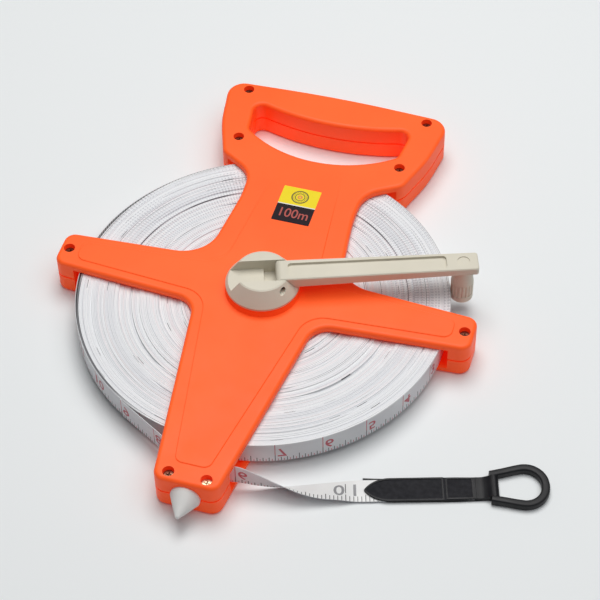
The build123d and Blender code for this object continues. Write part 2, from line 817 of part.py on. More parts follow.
# ---- free tape, which twists flat between the mouth and its end tab ----
lead_origin = Plane(
    (lead_start[0], lead_start[1], 0),
    x_dir=(cos(radians(lead_heading)), sin(radians(lead_heading)), 0),
)
tab_top = 2 * tab_layer + tab_gap
tape_flat_z = tab_top / 2
with BuildPart() as tape_lead:
    for along, aside, low, twist in lead_stations:
        lean = radians(twist)
        centre_z = low + tape_width / 2 * cos(lean)
        if twist == lead_stations[-1][3]:
            centre_z = tape_flat_z
        across = lead_origin.y_dir * -sin(lean) + Vector(0, 0, cos(lean))
        centre = lead_origin.from_local_coords((along + loose_gap, aside, centre_z))
        with BuildSketch(Plane(centre, x_dir=across, z_dir=lead_origin.x_dir)):
            Rectangle(tape_width, tape_thickness)
    loft()
    flat_start = lead_stations[-1][0] + loose_gap
    with BuildSketch(lead_origin.offset(tape_flat_z - half_tape)):
        with Locations(((flat_start + tab_end) / 2, tab_aside)):
            Rectangle(tab_end - flat_start, tape_width)
    extrude(amount=tape_thickness)
tape_lead.part.label = "tape_lead"
export_step(tape_lead.part, "parts/tape_lead.step")

# ---- folded end tab: two layers over the tape's end, and the loop round the ring's bar ----
tab_side = Plane(
    lead_origin.from_local_coords((0, tab_aside, 0)),
    x_dir=lead_origin.x_dir,
    z_dir=-lead_origin.y_dir,
)
tab_flat = Plane(tab_side.origin, x_dir=lead_origin.x_dir)
ring_axis_along = tab_join_end + loop_reach
loop_radius = ring_thickness / 2
loop_hole = ring_bar_radius + running_fit


def tab_outline(tip):
    """Makes the sketch of one layer, with an arched point at this distance from the mouth."""
    with BuildSketch() as outline:
        with BuildLine():
            half = tab_width / 2
            shoulder = tip + tab_point
            Polyline((shoulder, half), (tab_join_end, half), (tab_join_end, -half), (shoulder, -half))
            TangentArc((shoulder, half), (tip, 0), tangent=(-1, 0))
            TangentArc((shoulder, -half), (tip, 0), tangent=(-1, 0))
        make_face()
    return outline.sketch


with BuildPart() as end_tab:
    with BuildSketch(tab_flat):
        add(tab_outline(tab_tip - tab_layer_shift))
    extrude(amount=tab_layer)
    with BuildSketch(tab_flat.offset(tab_layer + tab_gap)):
        add(tab_outline(tab_tip))
    extrude(amount=tab_layer)
    # the layers join, and the strap rises round the bar
    with BuildSketch(tab_side):
        with BuildLine():
            Polyline(
                (tab_join_start, 0),
                (ring_axis_along, 0),
                (ring_axis_along, 2 * loop_radius),
                (tab_join_end, tab_top),
                (tab_join_start, tab_top),
                close=True,
            )
        make_face()
        with Locations((ring_axis_along, loop_radius)):
            Circle(loop_radius)
            Circle(loop_hole, mode=Mode.SUBTRACT)
    extrude(amount=strap_width / 2, both=True)
end_tab.part.label = "end_tab"
export_step(end_tab.part, "parts/end_tab.step")


def mirrored_below(upper_side):
    """Closes an upper row of (x, y, corner radius) with its mirror image."""
    return upper_side + [(x, -y, r) for x, y, r in reversed(upper_side)]


# ---- end ring ----
ring_start = ring_axis_along - ring_bar_setback
with BuildPart() as hook_ring:
    with BuildSketch(Plane(tab_flat.from_local_coords((ring_start, 0, 0)), x_dir=lead_origin.x_dir)):
        add(
            rounded_outline(
                mirrored_below(
                    [
                        (0.0, ring_neck_half, edge_softening),
                        (ring_shoulder, ring_half, ring_shoulder_round),
                        (ring_length, ring_tip_half, ring_tip_round),
                    ]
                )
            )
        )
        add(
            rounded_outline(
                mirrored_below(
                    [
                        (-1.0, strap_width / 2 + loose_gap, edge_softening / 2),
                        (ring_shoulder - ring_side, ring_half - ring_side, ring_shoulder_round),
                        (ring_length - ring_rail, ring_eye_tip_half, ring_shoulder_round),
                    ]
                )
            ),
            mode=Mode.SUBTRACT,
        )
    extrude(amount=ring_thickness)
    rim_edges = hook_ring.edges().group_by(Axis.Z)
    fillet(rim_edges[0] + rim_edges[-1], ring_edge)
    with BuildSketch(tab_side):
        with Locations((ring_axis_along, loop_radius)):
            Circle(ring_bar_radius)
    extrude(amount=strap_width / 2 + 2 * loose_gap, both=True)
hook_ring.part.label = "hook_ring"
export_step(hook_ring.part, "parts/hook_ring.step")

# ---- label on the panel, where the panel slopes down to the handle ----
panel_slope = panel_height / (panel_fade_end - panel_fade_start)
label_z = panel_top - (label_centre_y - panel_fade_start) * panel_slope
with BuildPart() as data_label:
    with BuildSketch(Plane((0, label_centre_y, label_z), x_dir=(1, 0, 0), z_dir=(0, panel_slope, 1))):
        RectangleRounded(label_width, label_height, edge_softening)
    extrude(amount=label_thickness)
data_label.part.label = "data_label"
export_step(data_label.part, "parts/data_label.step")
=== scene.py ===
import bpy
import bmesh
from math import acos, asin, atan2, cos, hypot, pi, radians, sin, tau
from mathutils import Matrix, Vector


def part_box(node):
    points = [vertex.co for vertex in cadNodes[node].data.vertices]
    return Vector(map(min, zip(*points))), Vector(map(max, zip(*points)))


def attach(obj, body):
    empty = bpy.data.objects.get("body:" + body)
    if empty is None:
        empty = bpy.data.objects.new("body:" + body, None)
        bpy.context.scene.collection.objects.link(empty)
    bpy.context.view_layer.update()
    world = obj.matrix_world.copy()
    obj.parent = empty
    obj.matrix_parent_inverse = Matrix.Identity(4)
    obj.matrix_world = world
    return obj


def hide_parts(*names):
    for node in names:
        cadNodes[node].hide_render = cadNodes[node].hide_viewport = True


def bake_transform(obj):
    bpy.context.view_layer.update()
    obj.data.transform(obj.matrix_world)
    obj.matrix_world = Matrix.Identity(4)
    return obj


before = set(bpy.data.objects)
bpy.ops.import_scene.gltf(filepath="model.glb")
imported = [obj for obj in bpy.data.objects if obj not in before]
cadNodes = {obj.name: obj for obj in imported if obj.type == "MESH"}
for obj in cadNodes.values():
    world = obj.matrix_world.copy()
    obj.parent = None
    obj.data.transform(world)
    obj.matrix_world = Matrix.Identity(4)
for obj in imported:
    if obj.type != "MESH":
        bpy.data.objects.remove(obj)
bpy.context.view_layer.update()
scene = bpy.context.scene
mm = 0.001
inchLength = 25.4 * mm


# node helpers, for shader and geometry trees alike
def addNode(tree, kind, sockets=None, **settings):
    node = tree.nodes.new(kind)
    for key, value in settings.items():
        setattr(node, key, value)
    for key, value in (sockets or {}).items():
        if isinstance(value, bpy.types.NodeSocket):
            tree.links.new(value, node.inputs[key])
        else:
            node.inputs[key].default_value = value
    return node


def maths(tree, operation, *values):
    return addNode(tree, "ShaderNodeMath", dict(enumerate(values)), operation=operation).outputs[0]


def startMaterial(name):
    material = bpy.data.materials.new(name)
    material.use_nodes = True
    tree = material.node_tree
    return material, tree, tree.nodes["Principled BSDF"]


def noiseAt(tree, place, scale, detail=2.0, roughness=0.5):
    sockets = {"Vector": place, "Scale": scale, "Detail": detail, "Roughness": roughness}
    return addNode(tree, "ShaderNodeTexNoise", sockets).outputs["Fac"]


def whiteAt(tree, value):
    return addNode(tree, "ShaderNodeTexWhiteNoise", {"W": value}, noise_dimensions="1D").outputs["Value"]


def mixRgb(tree, amount, first, second):
    node = tree.nodes.new("ShaderNodeMix")
    node.data_type = "RGBA"
    # the factor and the two colours among the node's many sockets
    for index, value in ((0, amount), (6, first), (7, second)):
        if isinstance(value, bpy.types.NodeSocket):
            tree.links.new(value, node.inputs[index])
        else:
            node.inputs[index].default_value = value
    return node.outputs[2]


def mapTo(tree, value, low, high, start=0.0, end=1.0):
    return addNode(tree, "ShaderNodeMapRange", {0: value, 1: start, 2: end, 3: low, 4: high}).outputs[0]


def bumpFrom(tree, height, strength, distance, normal=None):
    sockets = {"Height": height, "Strength": strength, "Distance": distance}
    if normal is not None:
        sockets["Normal"] = normal
    return addNode(tree, "ShaderNodeBump", sockets).outputs["Normal"]


# moulded plastics
def mouldedPlastic(name, values):
    material, tree, shader = startMaterial(name)
    place = addNode(tree, "ShaderNodeTexCoord").outputs["Object"]
    mottle = noiseAt(tree, place, values["mottleScale"], 4.0)
    colour = mixRgb(tree, mapTo(tree, mottle, 0.0, 1.0, 0.35, 0.65), values["colour"], values["shade"])
    tree.links.new(colour, shader.inputs["Base Color"])
    smear = noiseAt(tree, place, 60.0, 5.0, 0.6)
    tree.links.new(
        mapTo(tree, smear, values["roughness"] - 0.05, values["roughness"] + 0.06, 0.3, 0.7),
        shader.inputs["Roughness"],
    )
    grain = noiseAt(tree, place, values["grainScale"], 2.0)
    wave = noiseAt(tree, place, 26.0, 1.0)
    normal = bumpFrom(tree, wave, 0.35, 0.0004)
    normal = bumpFrom(tree, grain, values["grain"], 0.00006, normal)
    tree.links.new(normal, shader.inputs["Normal"])
    shader.inputs["Specular IOR Level"].default_value = values["specular"]
    # painted glow: an emission that stands in for light passing through the plastic and bounced between its
    # walls
    if "paintedGlow" in values:
        shader.inputs["Emission Color"].default_value = values["paintedGlow"]
        shader.inputs["Emission Strength"].default_value = 1.0
    return material


orangePlastic = mouldedPlastic("orange_plastic", {
    "colour": (1.0, 0.148, 0.022, 1), "shade": (0.98, 0.132, 0.018, 1),
    "roughness": 0.48, "mottleScale": 18.0, "grainScale": 1900.0, "grain": 0.25, "specular": 0.32,
    # painted glow: light passing through the orange plastic and bounced between its walls
    "paintedGlow": (0.2, 0.0022, 0.0003, 1),  # stands in for light that passes through the plastic
})
palePlastic = mouldedPlastic("pale_plastic", {
    "colour": (0.7, 0.655, 0.545, 1), "shade": (0.65, 0.61, 0.5, 1),
    "roughness": 0.42, "mottleScale": 30.0, "grainScale": 2300.0, "grain": 0.3, "specular": 0.45,
})
spikePlastic = mouldedPlastic("spike_plastic", {
    "colour": (0.8, 0.79, 0.77, 1), "shade": (0.75, 0.74, 0.72, 1),
    "roughness": 0.45, "mottleScale": 60.0, "grainScale": 2300.0, "grain": 0.3, "specular": 0.4,
})
greyPlastic = mouldedPlastic("grey_plastic", {
    "colour": (0.25, 0.26, 0.27, 1), "shade": (0.2, 0.21, 0.22, 1),
    "roughness": 0.5, "mottleScale": 60.0, "grainScale": 2300.0, "grain": 0.3, "specular": 0.4,
})
blackStrap = mouldedPlastic("black_strap", {
    "colour": (0.009, 0.009, 0.011, 1), "shade": (0.014, 0.014, 0.016, 1),
    "roughness": 0.36, "mottleScale": 90.0, "grainScale": 2600.0, "grain": 0.5, "specular": 0.2,
})
blackPanel = mouldedPlastic("black_panel", {
    "colour": (0.01, 0.01, 0.013, 1), "shade": (0.018, 0.018, 0.022, 1),
    "roughness": 0.6, "mottleScale": 400.0, "grainScale": 1500.0, "grain": 0.9, "specular": 0.14,
})
blackRing = mouldedPlastic("black_ring", {
    "colour": (0.011, 0.011, 0.013, 1), "shade": (0.016, 0.016, 0.018, 1),
    "roughness": 0.45, "mottleScale": 90.0, "grainScale": 3000.0, "grain": 0.35, "specular": 0.28,
})


# metals
def turnedMetal(name, values):
    material, tree, shader = startMaterial(name)
    place = addNode(tree, "ShaderNodeTexCoord").outputs["Object"]
    stain = noiseAt(tree, place, 500.0, 4.0)
    colour = mixRgb(tree, mapTo(tree, stain, 0.0, 1.0, 0.4, 0.7), values["colour"], values["stain"])
    if "paintedGlint" in values:
        # painted highlight: of the foot's two screws, the right one is painted bright where it catches the
        # light
        axes = addNode(tree, "ShaderNodeSeparateXYZ", {0: place})
        aside = maths(tree, "MULTIPLY", axes.outputs[0], 0.5)
        down = maths(tree, "MULTIPLY_ADD", axes.outputs[1], -1.0, aside)
        glintMask = mapTo(tree, down, 0.0, 1.0, values["glintFrom"], values["glintFull"])
        colour = mixRgb(tree, glintMask, colour, values["paintedGlint"])
    tree.links.new(colour, shader.inputs["Base Color"])
    tree.links.new(mapTo(tree, stain, 0.2, 0.42, 0.3, 0.7), shader.inputs["Roughness"])
    scratches = noiseAt(tree, place, 5200.0, 1.0)
    tree.links.new(bumpFrom(tree, scratches, 0.2, 0.00003), shader.inputs["Normal"])
    shader.inputs["Metallic"].default_value = 1.0
    return material


# painted shade: the screws are given a dark red-brown for the shade and orange light they show deep in their
# holes
screwPaintedShade = turnedMetal("plated_screw", {
    "colour": (0.24, 0.11, 0.07, 1), "stain": (0.13, 0.055, 0.035, 1),
    "paintedGlint": (0.62, 0.5, 0.34, 1), "glintFrom": 123.6 * mm, "glintFull": 125.6 * mm,
})
# painted shade: the crank pin's end is a dark red-brown so that it reads as a shaded hole
pinPaintedShade = turnedMetal("pin_painted_shade", {"colour": (0.13, 0.08, 0.07, 1), "stain": (0.07, 0.04, 0.035, 1)})
postSteel = turnedMetal("post_steel", {"colour": (0.55, 0.56, 0.57, 1), "stain": (0.4, 0.41, 0.42, 1)})


# printed tape: UV.x is the length along the tape in metres and UV.y runs across it from 0 to 1
def printedTape(name, values):
    material, tree, shader = startMaterial(name)
    uv = addNode(tree, "ShaderNodeUVMap", uv_map="tape").outputs["UV"]
    axes = addNode(tree, "ShaderNodeSeparateXYZ", {0: uv})
    along, across = axes.outputs[0], axes.outputs[1]
    place = addNode(tree, "ShaderNodeTexCoord").outputs["Object"]
    haze = noiseAt(tree, place, 70.0, 4.0)
    colour = mixRgb(tree, mapTo(tree, haze, 0.0, 1.0, 0.35, 0.65), values["white"], values["haze"])
    # each row of marks: pitch, half of a mark's width, where it starts and ends across the tape, ink
    for pitch, halfWidth, low, high, ink in values["marks"]:
        near = maths(tree, "PINGPONG", along, pitch / 2)
        mask = maths(tree, "LESS_THAN", near, halfWidth)
        mask = maths(tree, "MULTIPLY", mask, maths(tree, "GREATER_THAN", across, low))
        mask = maths(tree, "MULTIPLY", mask, maths(tree, "LESS_THAN", across, high))
        colour = mixRgb(tree, mask, colour, ink)
    tree.links.new(colour, shader.inputs["Base Color"])
    tree.links.new(mapTo(tree, haze, 0.28, 0.4), shader.inputs["Roughness"])
    threads = maths(tree, "SINE", maths(tree, "MULTIPLY", across, 60.0))
    normal = bumpFrom(tree, threads, 0.12, 0.00003)
    normal = bumpFrom(tree, noiseAt(tree, place, 240.0, 2.0), 0.3, 0.0002, normal)
    tree.links.new(normal, shader.inputs["Normal"])
    return material


tapeInk = {"red": (0.55, 0.08, 0.11, 1), "black": (0.06, 0.06, 0.065, 1), "grey": (0.25, 0.25, 0.26, 1)}
inchFace = printedTape("tape_inch_face", {
    "white": (0.74, 0.74, 0.76, 1), "haze": (0.69, 0.68, 0.71, 1),
    "marks": [
        (inchLength, 0.22 * mm, -1.0, 2.0, tapeInk["red"]),
        (inchLength / 16, 0.16 * mm, -1.0, 0.13, tapeInk["red"]),
        (inchLength / 8, 0.2 * mm, -1.0, 0.22, tapeInk["black"]),
        (inchLength / 2, 0.2 * mm, -1.0, 0.34, tapeInk["black"]),
    ],
})
metricFace = printedTape("tape_metric_face", {
    "white": (0.76, 0.76, 0.75, 1), "haze": (0.71, 0.71, 0.71, 1),
    "marks": [
        (2 * mm, 0.18 * mm, 0.76, 2.0, tapeInk["black"]),
        (10 * mm, 0.2 * mm, 0.68, 2.0, tapeInk["black"]),
        (100 * mm, 0.2 * mm, 0.14, 0.62, tapeInk["black"]),
    ],
})
tapeEdge, edgeTree, edgeShader = startMaterial("tape_cut_edge")
edgePlace = addNode(edgeTree, "ShaderNodeTexCoord").outputs["Object"]
edgeTree.links.new(
    mixRgb(edgeTree, noiseAt(edgeTree, edgePlace, 900.0), (0.75, 0.76, 0.77, 1), (0.5, 0.51, 0.53, 1)),
    edgeShader.inputs["Base Color"],
)
edgeShader.inputs["Roughness"].default_value = 0.55


def inkMaterial(name, colour):
    material, tree, shader = startMaterial(name)
    place = addNode(tree, "ShaderNodeTexCoord").outputs["Object"]
    speck = noiseAt(tree, place, 2600.0, 3.0)
    paler = [c * 0.8 + 0.06 for c in colour[:3]] + [1]
    mixed = mixRgb(tree, mapTo(tree, speck, 0.0, 1.0, 0.4, 0.75), colour, paler)
    tree.links.new(mixed, shader.inputs["Base Color"])
    shader.inputs["Roughness"].default_value = 0.4
    return material


redInk = inkMaterial("red_ink", tapeInk["red"])
greyInk = inkMaterial("grey_ink", tapeInk["grey"])
print("materials ready")


# mesh helpers
def finishPiece(name, bm, materials, outward=True):
    if outward:
        bmesh.ops.recalc_face_normals(bm, faces=bm.faces)
    mesh = bpy.data.meshes.new(name)
    bm.to_mesh(mesh)
    bm.free()
    for material in materials:
        mesh.materials.append(material)
    piece = bpy.data.objects.new(name, mesh)
    scene.collection.objects.link(piece)
    return piece


def applyModifiers(piece):
    mesh = bpy.data.meshes.new_from_object(piece.evaluated_get(bpy.context.evaluated_depsgraph_get()))
    old = piece.data
    piece.modifiers.clear()
    piece.data = mesh
    bpy.data.meshes.remove(old)
    mesh.name = piece.name
    return piece


def bevelPiece(piece, width, angle):
    bevel = piece.modifiers.new("soft_edges", "BEVEL")
    bevel.width = width
    bevel.segments = 2
    bevel.limit_method = "ANGLE"
    bevel.angle_limit = radians(angle)
    for polygon in piece.data.polygons:
        polygon.use_smooth = True
    piece.modifiers.new("flat_normals", "WEIGHTED_NORMAL").keep_sharp = True
    return applyModifiers(piece)


def throughPoints(points, closed, steps):
    # Catmull-Rom curve through listed points
    count = len(points)
    spans = count if closed else count - 1
    curve = []
    for span in range(spans):
        picks = [span - 1, span, span + 1, span + 2]
        a, b, c, d = [points[i % count] if closed else points[min(max(i, 0), count - 1)] for i in picks]
        for step in range(steps):
            t = step / steps
            curve.append(tuple(
                0.5 * (2 * q + (r - p) * t + (2 * p - 5 * q + 4 * r - s) * t * t
                       + (3 * q - p - 3 * r + s) * t ** 3)
                for p, q, r, s in zip(a, b, c, d)
            ))
    if not closed:
        curve.append(tuple(points[-1]))
    return curve


# wound tape, made by a node tree from rings of uneven height
rollLow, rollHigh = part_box("tape_roll")
roll = {
    "inner": 22.02 * mm, "outer": rollHigh.x - 0.32 * mm, "bottom": rollLow.z, "top": rollHigh.z,
    "turnsAbove": 98, "turnsBelow": 60, "steps": 200, "stepsBelow": 144, "uneven": 0.5 * mm, "seed": 7.3,
    # how many millimetres each seventh of the winding, from the core out, stands too low
    "terraces": [0.8, 0.2, 1.1, 0.4, 1.2, 0.3, 0.0],
    # what is painted on it: single layers, painted shade in the gaps between turns, ends of the printed
    # ticks, painted shade in the outer band
    "layer": 0.3 * mm, "layerLine": 0.03 * mm, "seamHalf": 0.11 * mm, "openHalf": 0.22 * mm,
    "openCell": 6.0 * mm, "openShare": 0.994, "tickPitch": 1.6 * mm, "tickHalf": 0.3 * mm,
    "tickReach": 75.0 * mm, "band": 1.15 * mm, "bandTurn": radians(146),
}
roll["middle"] = (roll["bottom"] + roll["top"]) / 2

woundTape, tree, shader = startMaterial("wound_tape")
turn = addNode(tree, "ShaderNodeAttribute", attribute_name="turn").outputs["Fac"]
turnNumber = maths(tree, "ROUND", turn)
turnWhite = whiteAt(tree, turnNumber)
turnOther = whiteAt(tree, maths(tree, "ADD", turnNumber, 51.7))
place = addNode(tree, "ShaderNodeTexCoord").outputs["Object"]
axes = addNode(tree, "ShaderNodeSeparateXYZ", {0: place})
angle = maths(tree, "ARCTAN2", axes.outputs[1], axes.outputs[0])
flatPlace = addNode(tree, "ShaderNodeCombineXYZ", {0: axes.outputs[0], 1: axes.outputs[1]}).outputs[0]
reach = addNode(tree, "ShaderNodeVectorMath", {0: flatPlace}, operation="LENGTH").outputs["Value"]
colour = mixRgb(tree, mapTo(tree, turnWhite, 0.0, 1.0), (0.89, 0.9, 0.91, 1), (0.78, 0.79, 0.82, 1))
pinkish = maths(tree, "MULTIPLY", maths(tree, "GREATER_THAN", turnOther, 0.88), 0.22)
colour = mixRgb(tree, pinkish, colour, (0.75, 0.58, 0.6, 1))
# single layers, finer than the modelled rings
layers = maths(tree, "PINGPONG", reach, roll["layer"] / 2)
layerLine = maths(tree, "LESS_THAN", layers, roll["layerLine"])
colour = mixRgb(tree, maths(tree, "MULTIPLY", layerLine, 0.3), colour, (0.35, 0.36, 0.39, 1))
# painted shade: dark lines in the gaps between neighbouring turns, darkest where turns have parted, each
# over part of the way round
pitch = (roll["outer"] - roll["inner"]) / roll["turnsAbove"]
outwards = maths(tree, "SUBTRACT", reach, roll["inner"])
fromSeam = maths(tree, "PINGPONG", outwards, pitch / 2)
seam = maths(tree, "LESS_THAN", fromSeam, roll["seamHalf"])
seamNumber = maths(tree, "ROUND", maths(tree, "DIVIDE", outwards, pitch))
seamWhite = whiteAt(tree, maths(tree, "ADD", seamNumber, 17.3))
seamPlace = addNode(tree, "ShaderNodeCombineXYZ", {
    0: maths(tree, "MULTIPLY", seamNumber, 3.7),
    1: maths(tree, "MULTIPLY", maths(tree, "COSINE", angle), 1.2),
    2: maths(tree, "MULTIPLY", maths(tree, "SINE", angle), 1.2),
}).outputs[0]
partedShade = mapTo(tree, noiseAt(tree, seamPlace, 1.0, 1.0), 0.0, 1.0, 0.5, 0.6)
mayPart = maths(tree, "GREATER_THAN", seamWhite, 0.6)
partedShade = maths(tree, "MULTIPLY", maths(tree, "MULTIPLY", partedShade, seam), mayPart)
partedShade = maths(tree, "MULTIPLY", partedShade, mapTo(tree, seamWhite, 0.3, 0.9, 0.8, 0.85))
seamShade = maths(tree, "MULTIPLY", maths(tree, "MULTIPLY", seam, seamWhite), 0.5)
colour = mixRgb(tree, seamShade, colour, (0.42, 0.43, 0.48, 1))
colour = mixRgb(tree, partedShade, colour, (0.06, 0.06, 0.07, 1))
# ends of the printed ticks that show on the edges of some layers
tickShift = maths(tree, "MULTIPLY", turnWhite, roll["tickHalf"])
tickPlace = maths(tree, "MULTIPLY_ADD", angle, roll["tickReach"], tickShift)
fromTick = maths(tree, "PINGPONG", tickPlace, roll["tickPitch"] / 2)
tick = maths(tree, "LESS_THAN", fromTick, roll["tickHalf"])
window = mapTo(tree, noiseAt(tree, place, 16.0, 1.0), 0.0, 1.0, 0.44, 0.54)
window = maths(tree, "MULTIPLY", window, mapTo(tree, axes.outputs[1], 0.0, 1.0, -0.03, 0.01))
showsTicks = maths(tree, "GREATER_THAN", turnOther, 0.3)
tick = maths(tree, "MULTIPLY", maths(tree, "MULTIPLY", tick, window), showsTicks)
colour = mixRgb(tree, maths(tree, "MULTIPLY", tick, 0.42), colour, (0.3, 0.3, 0.36, 1))
# painted shade: a few short open gaps between turns, painted near-black
shiftedAngle = maths(tree, "ADD", angle, maths(tree, "MULTIPLY", turnWhite, 6.0))
arcLength = maths(tree, "MULTIPLY", shiftedAngle, reach)
cell = maths(tree, "FLOOR", maths(tree, "DIVIDE", arcLength, roll["openCell"]))
cellWhite = whiteAt(tree, maths(tree, "ADD", cell, maths(tree, "MULTIPLY", seamNumber, 19.1)))
openCell = maths(tree, "GREATER_THAN", cellWhite, roll["openShare"])
openGapShade = maths(tree, "MULTIPLY", openCell, maths(tree, "LESS_THAN", fromSeam, roll["openHalf"]))
colour = mixRgb(tree, maths(tree, "MULTIPLY", openGapShade, 0.9), colour, (0.05, 0.05, 0.06, 1))
# painted shade in the gap inside the outer turn at the front left
outermost = maths(tree, "GREATER_THAN", reach, roll["outer"] - roll["band"])
bandAngle = maths(tree, "ADD", angle, roll["bandTurn"])
facing = mapTo(tree, maths(tree, "COSINE", bandAngle), 0.0, 1.0, 0.8, 0.94)
outerShade = maths(tree, "MULTIPLY", maths(tree, "MULTIPLY", outermost, facing), 0.85)
colour = mixRgb(tree, outerShade, colour, (0.05, 0.05, 0.06, 1))
tree.links.new(colour, shader.inputs["Base Color"])
shader.inputs["Roughness"].default_value = 0.5
tree.links.new(bumpFrom(tree, layers, 0.5, 0.0001), shader.inputs["Normal"])


def woundTree(name, material, terraces):
    tree = bpy.data.node_groups.new(name, "GeometryNodeTree")
    tree.is_modifier = True
    wanted = {"Turns": "Int", "Steps": "Int"}
    wanted.update(dict.fromkeys(("Inner", "Outer", "Middle", "Height", "Uneven", "Seed"), "Float"))
    ids = {}
    for label, kind in wanted.items():
        socket = tree.interface.new_socket(label, in_out="INPUT", socket_type="NodeSocket" + kind)
        ids[label] = socket.identifier
    tree.interface.new_socket("Geometry", in_out="OUTPUT", socket_type="NodeSocketGeometry")
    given = addNode(tree, "NodeGroupInput").outputs
    turns, seed = given["Turns"], given["Seed"]
    # a grid column for each corner of the cross-section: four a ring, and two at the middle plane
    columns = maths(tree, "MULTIPLY_ADD", turns, 4.0, 2.0)
    grid = addNode(tree, "GeometryNodeMeshGrid", {
        "Size X": 1.0, "Size Y": 1.0,
        "Vertices X": maths(tree, "ADD", columns, 1.0),
        "Vertices Y": maths(tree, "ADD", given["Steps"], 1.0),
    })
    axes = addNode(tree, "ShaderNodeSeparateXYZ", {0: addNode(tree, "GeometryNodeInputPosition").outputs[0]})
    column = maths(tree, "ROUND", maths(tree, "MULTIPLY", maths(tree, "ADD", axes.outputs[0], 0.5), columns))
    column = maths(tree, "MODULO", column, columns)
    angle = maths(tree, "MULTIPLY", maths(tree, "ADD", axes.outputs[1], 0.5), tau)
    east, north = maths(tree, "COSINE", angle), maths(tree, "SINE", angle)
    onTop = maths(
        tree, "MULTIPLY", maths(tree, "GREATER_THAN", column, 0.5),
        maths(tree, "LESS_THAN", column, maths(tree, "SUBTRACT", columns, 1.5)),
    )
    onRim = maths(tree, "GREATER_THAN", column, maths(tree, "SUBTRACT", columns, 1.5))
    ring = maths(tree, "FLOOR", maths(tree, "DIVIDE", maths(tree, "SUBTRACT", column, 1.0), 4.0))
    ringMiddle = maths(tree, "MULTIPLY_ADD", ring, 4.0, 2.5)
    corner = maths(tree, "SUBTRACT", column, ringMiddle)
    # the outer two of a ring's four corners stand a little lower
    edge = maths(tree, "GREATER_THAN", maths(tree, "ABSOLUTE", corner), 1.0)
    spread = maths(tree, "MULTIPLY", corner, maths(tree, "MULTIPLY_ADD", edge, -0.29, 0.6))
    depth = maths(tree, "SUBTRACT", given["Outer"], given["Inner"])
    pitch = maths(tree, "DIVIDE", depth, turns)
    ringPlace = maths(tree, "ADD", maths(tree, "ADD", ring, 0.5), spread)
    ringReach = maths(tree, "MULTIPLY_ADD", ringPlace, pitch, given["Inner"])
    flatReach = maths(tree, "MULTIPLY_ADD", onRim, depth, given["Inner"])
    reach = maths(
        tree, "ADD", maths(tree, "MULTIPLY", ringReach, onTop),
        maths(tree, "MULTIPLY", flatReach, maths(tree, "SUBTRACT", 1.0, onTop)),
    )

    def white(shift):
        return whiteAt(tree, maths(tree, "ADD", ring, maths(tree, "ADD", seed, shift)))

    def drift(stretch, sweep, shift):
        place = addNode(tree, "ShaderNodeCombineXYZ", {
            0: maths(tree, "ADD", maths(tree, "MULTIPLY", ring, stretch), shift),
            1: maths(tree, "MULTIPLY", east, sweep), 2: maths(tree, "MULTIPLY", north, sweep),
        }).outputs[0]
        return noiseAt(tree, place, 1.0, 1.0)

    # each ring stands a little lower or higher, and so does each stretch of neighbouring rings
    sink = maths(tree, "MULTIPLY", white(0.0), 0.45)
    sink = maths(tree, "ADD", sink, mapTo(tree, drift(0.17, 0.9, 3.1), 0.0, 0.7, 0.3, 0.7))
    # broad terraces
    ringShare = maths(tree, "DIVIDE", maths(tree, "ADD", ring, 0.5), turns)
    part = maths(tree, "FLOOR", maths(tree, "MULTIPLY", ringShare, float(max(len(terraces), 1))))
    terrace = 0.0
    for number, drop in enumerate(terraces):
        here = maths(tree, "COMPARE", part, float(number), 0.5)
        terrace = maths(tree, "MULTIPLY_ADD", here, drop, terrace)
    # a few turns drop well below their neighbours over part of the way round
    slipped = maths(tree, "GREATER_THAN", white(19.0), 0.88)
    span = mapTo(tree, drift(5.7, 1.1, 8.4), 0.0, 2.5, 0.47, 0.56)
    sink = maths(tree, "ADD", sink, maths(tree, "MULTIPLY", slipped, span))
    sink = maths(tree, "ADD", sink, maths(tree, "MULTIPLY", edge, 0.3))
    lift = maths(tree, "SUBTRACT", given["Height"], maths(tree, "MULTIPLY", sink, given["Uneven"]))
    lift = maths(tree, "SUBTRACT", lift, terrace)
    z = maths(tree, "ADD", given["Middle"], maths(tree, "MULTIPLY", lift, onTop))
    place = addNode(tree, "ShaderNodeCombineXYZ", {
        0: maths(tree, "MULTIPLY", reach, east), 1: maths(tree, "MULTIPLY", reach, north), 2: z,
    }).outputs[0]
    stored = addNode(tree, "GeometryNodeStoreNamedAttribute", {
        "Geometry": grid.outputs["Mesh"], "Name": "turn", "Value": ring,
    }, data_type="FLOAT", domain="POINT")
    moved = addNode(tree, "GeometryNodeSetPosition", {"Geometry": stored.outputs[0], "Position": place})
    merged = addNode(tree, "GeometryNodeMergeByDistance", {"Geometry": moved.outputs[0], "Distance": 1e-6})
    smooth = addNode(tree, "GeometryNodeSetShadeSmooth", {0: merged.outputs[0]})
    real = addNode(tree, "GeometryNodeRealizeInstances", {0: smooth.outputs[0]})
    coloured = addNode(tree, "GeometryNodeSetMaterial", {"Geometry": real.outputs[0], "Material": material})
    addNode(tree, "NodeGroupOutput", {"Geometry": coloured.outputs[0]})
    return tree, ids


def makeWinding(name, terraces, values):
    rollTree, rollIds = woundTree(name + "_rings", woundTape, terraces)
    piece = bpy.data.objects.new(name, bpy.data.meshes.new(name))
    scene.collection.objects.link(piece)
    modifier = piece.modifiers.new("winding", "NODES")
    modifier.node_group = rollTree
    for label, value in values.items():
        modifier[rollIds[label]] = value
    applyModifiers(piece)
    bm = bmesh.new()
    bm.from_mesh(piece.data)
    bmesh.ops.recalc_face_normals(bm, faces=bm.faces)
    bm.to_mesh(piece.data)
    bm.free()
    return piece


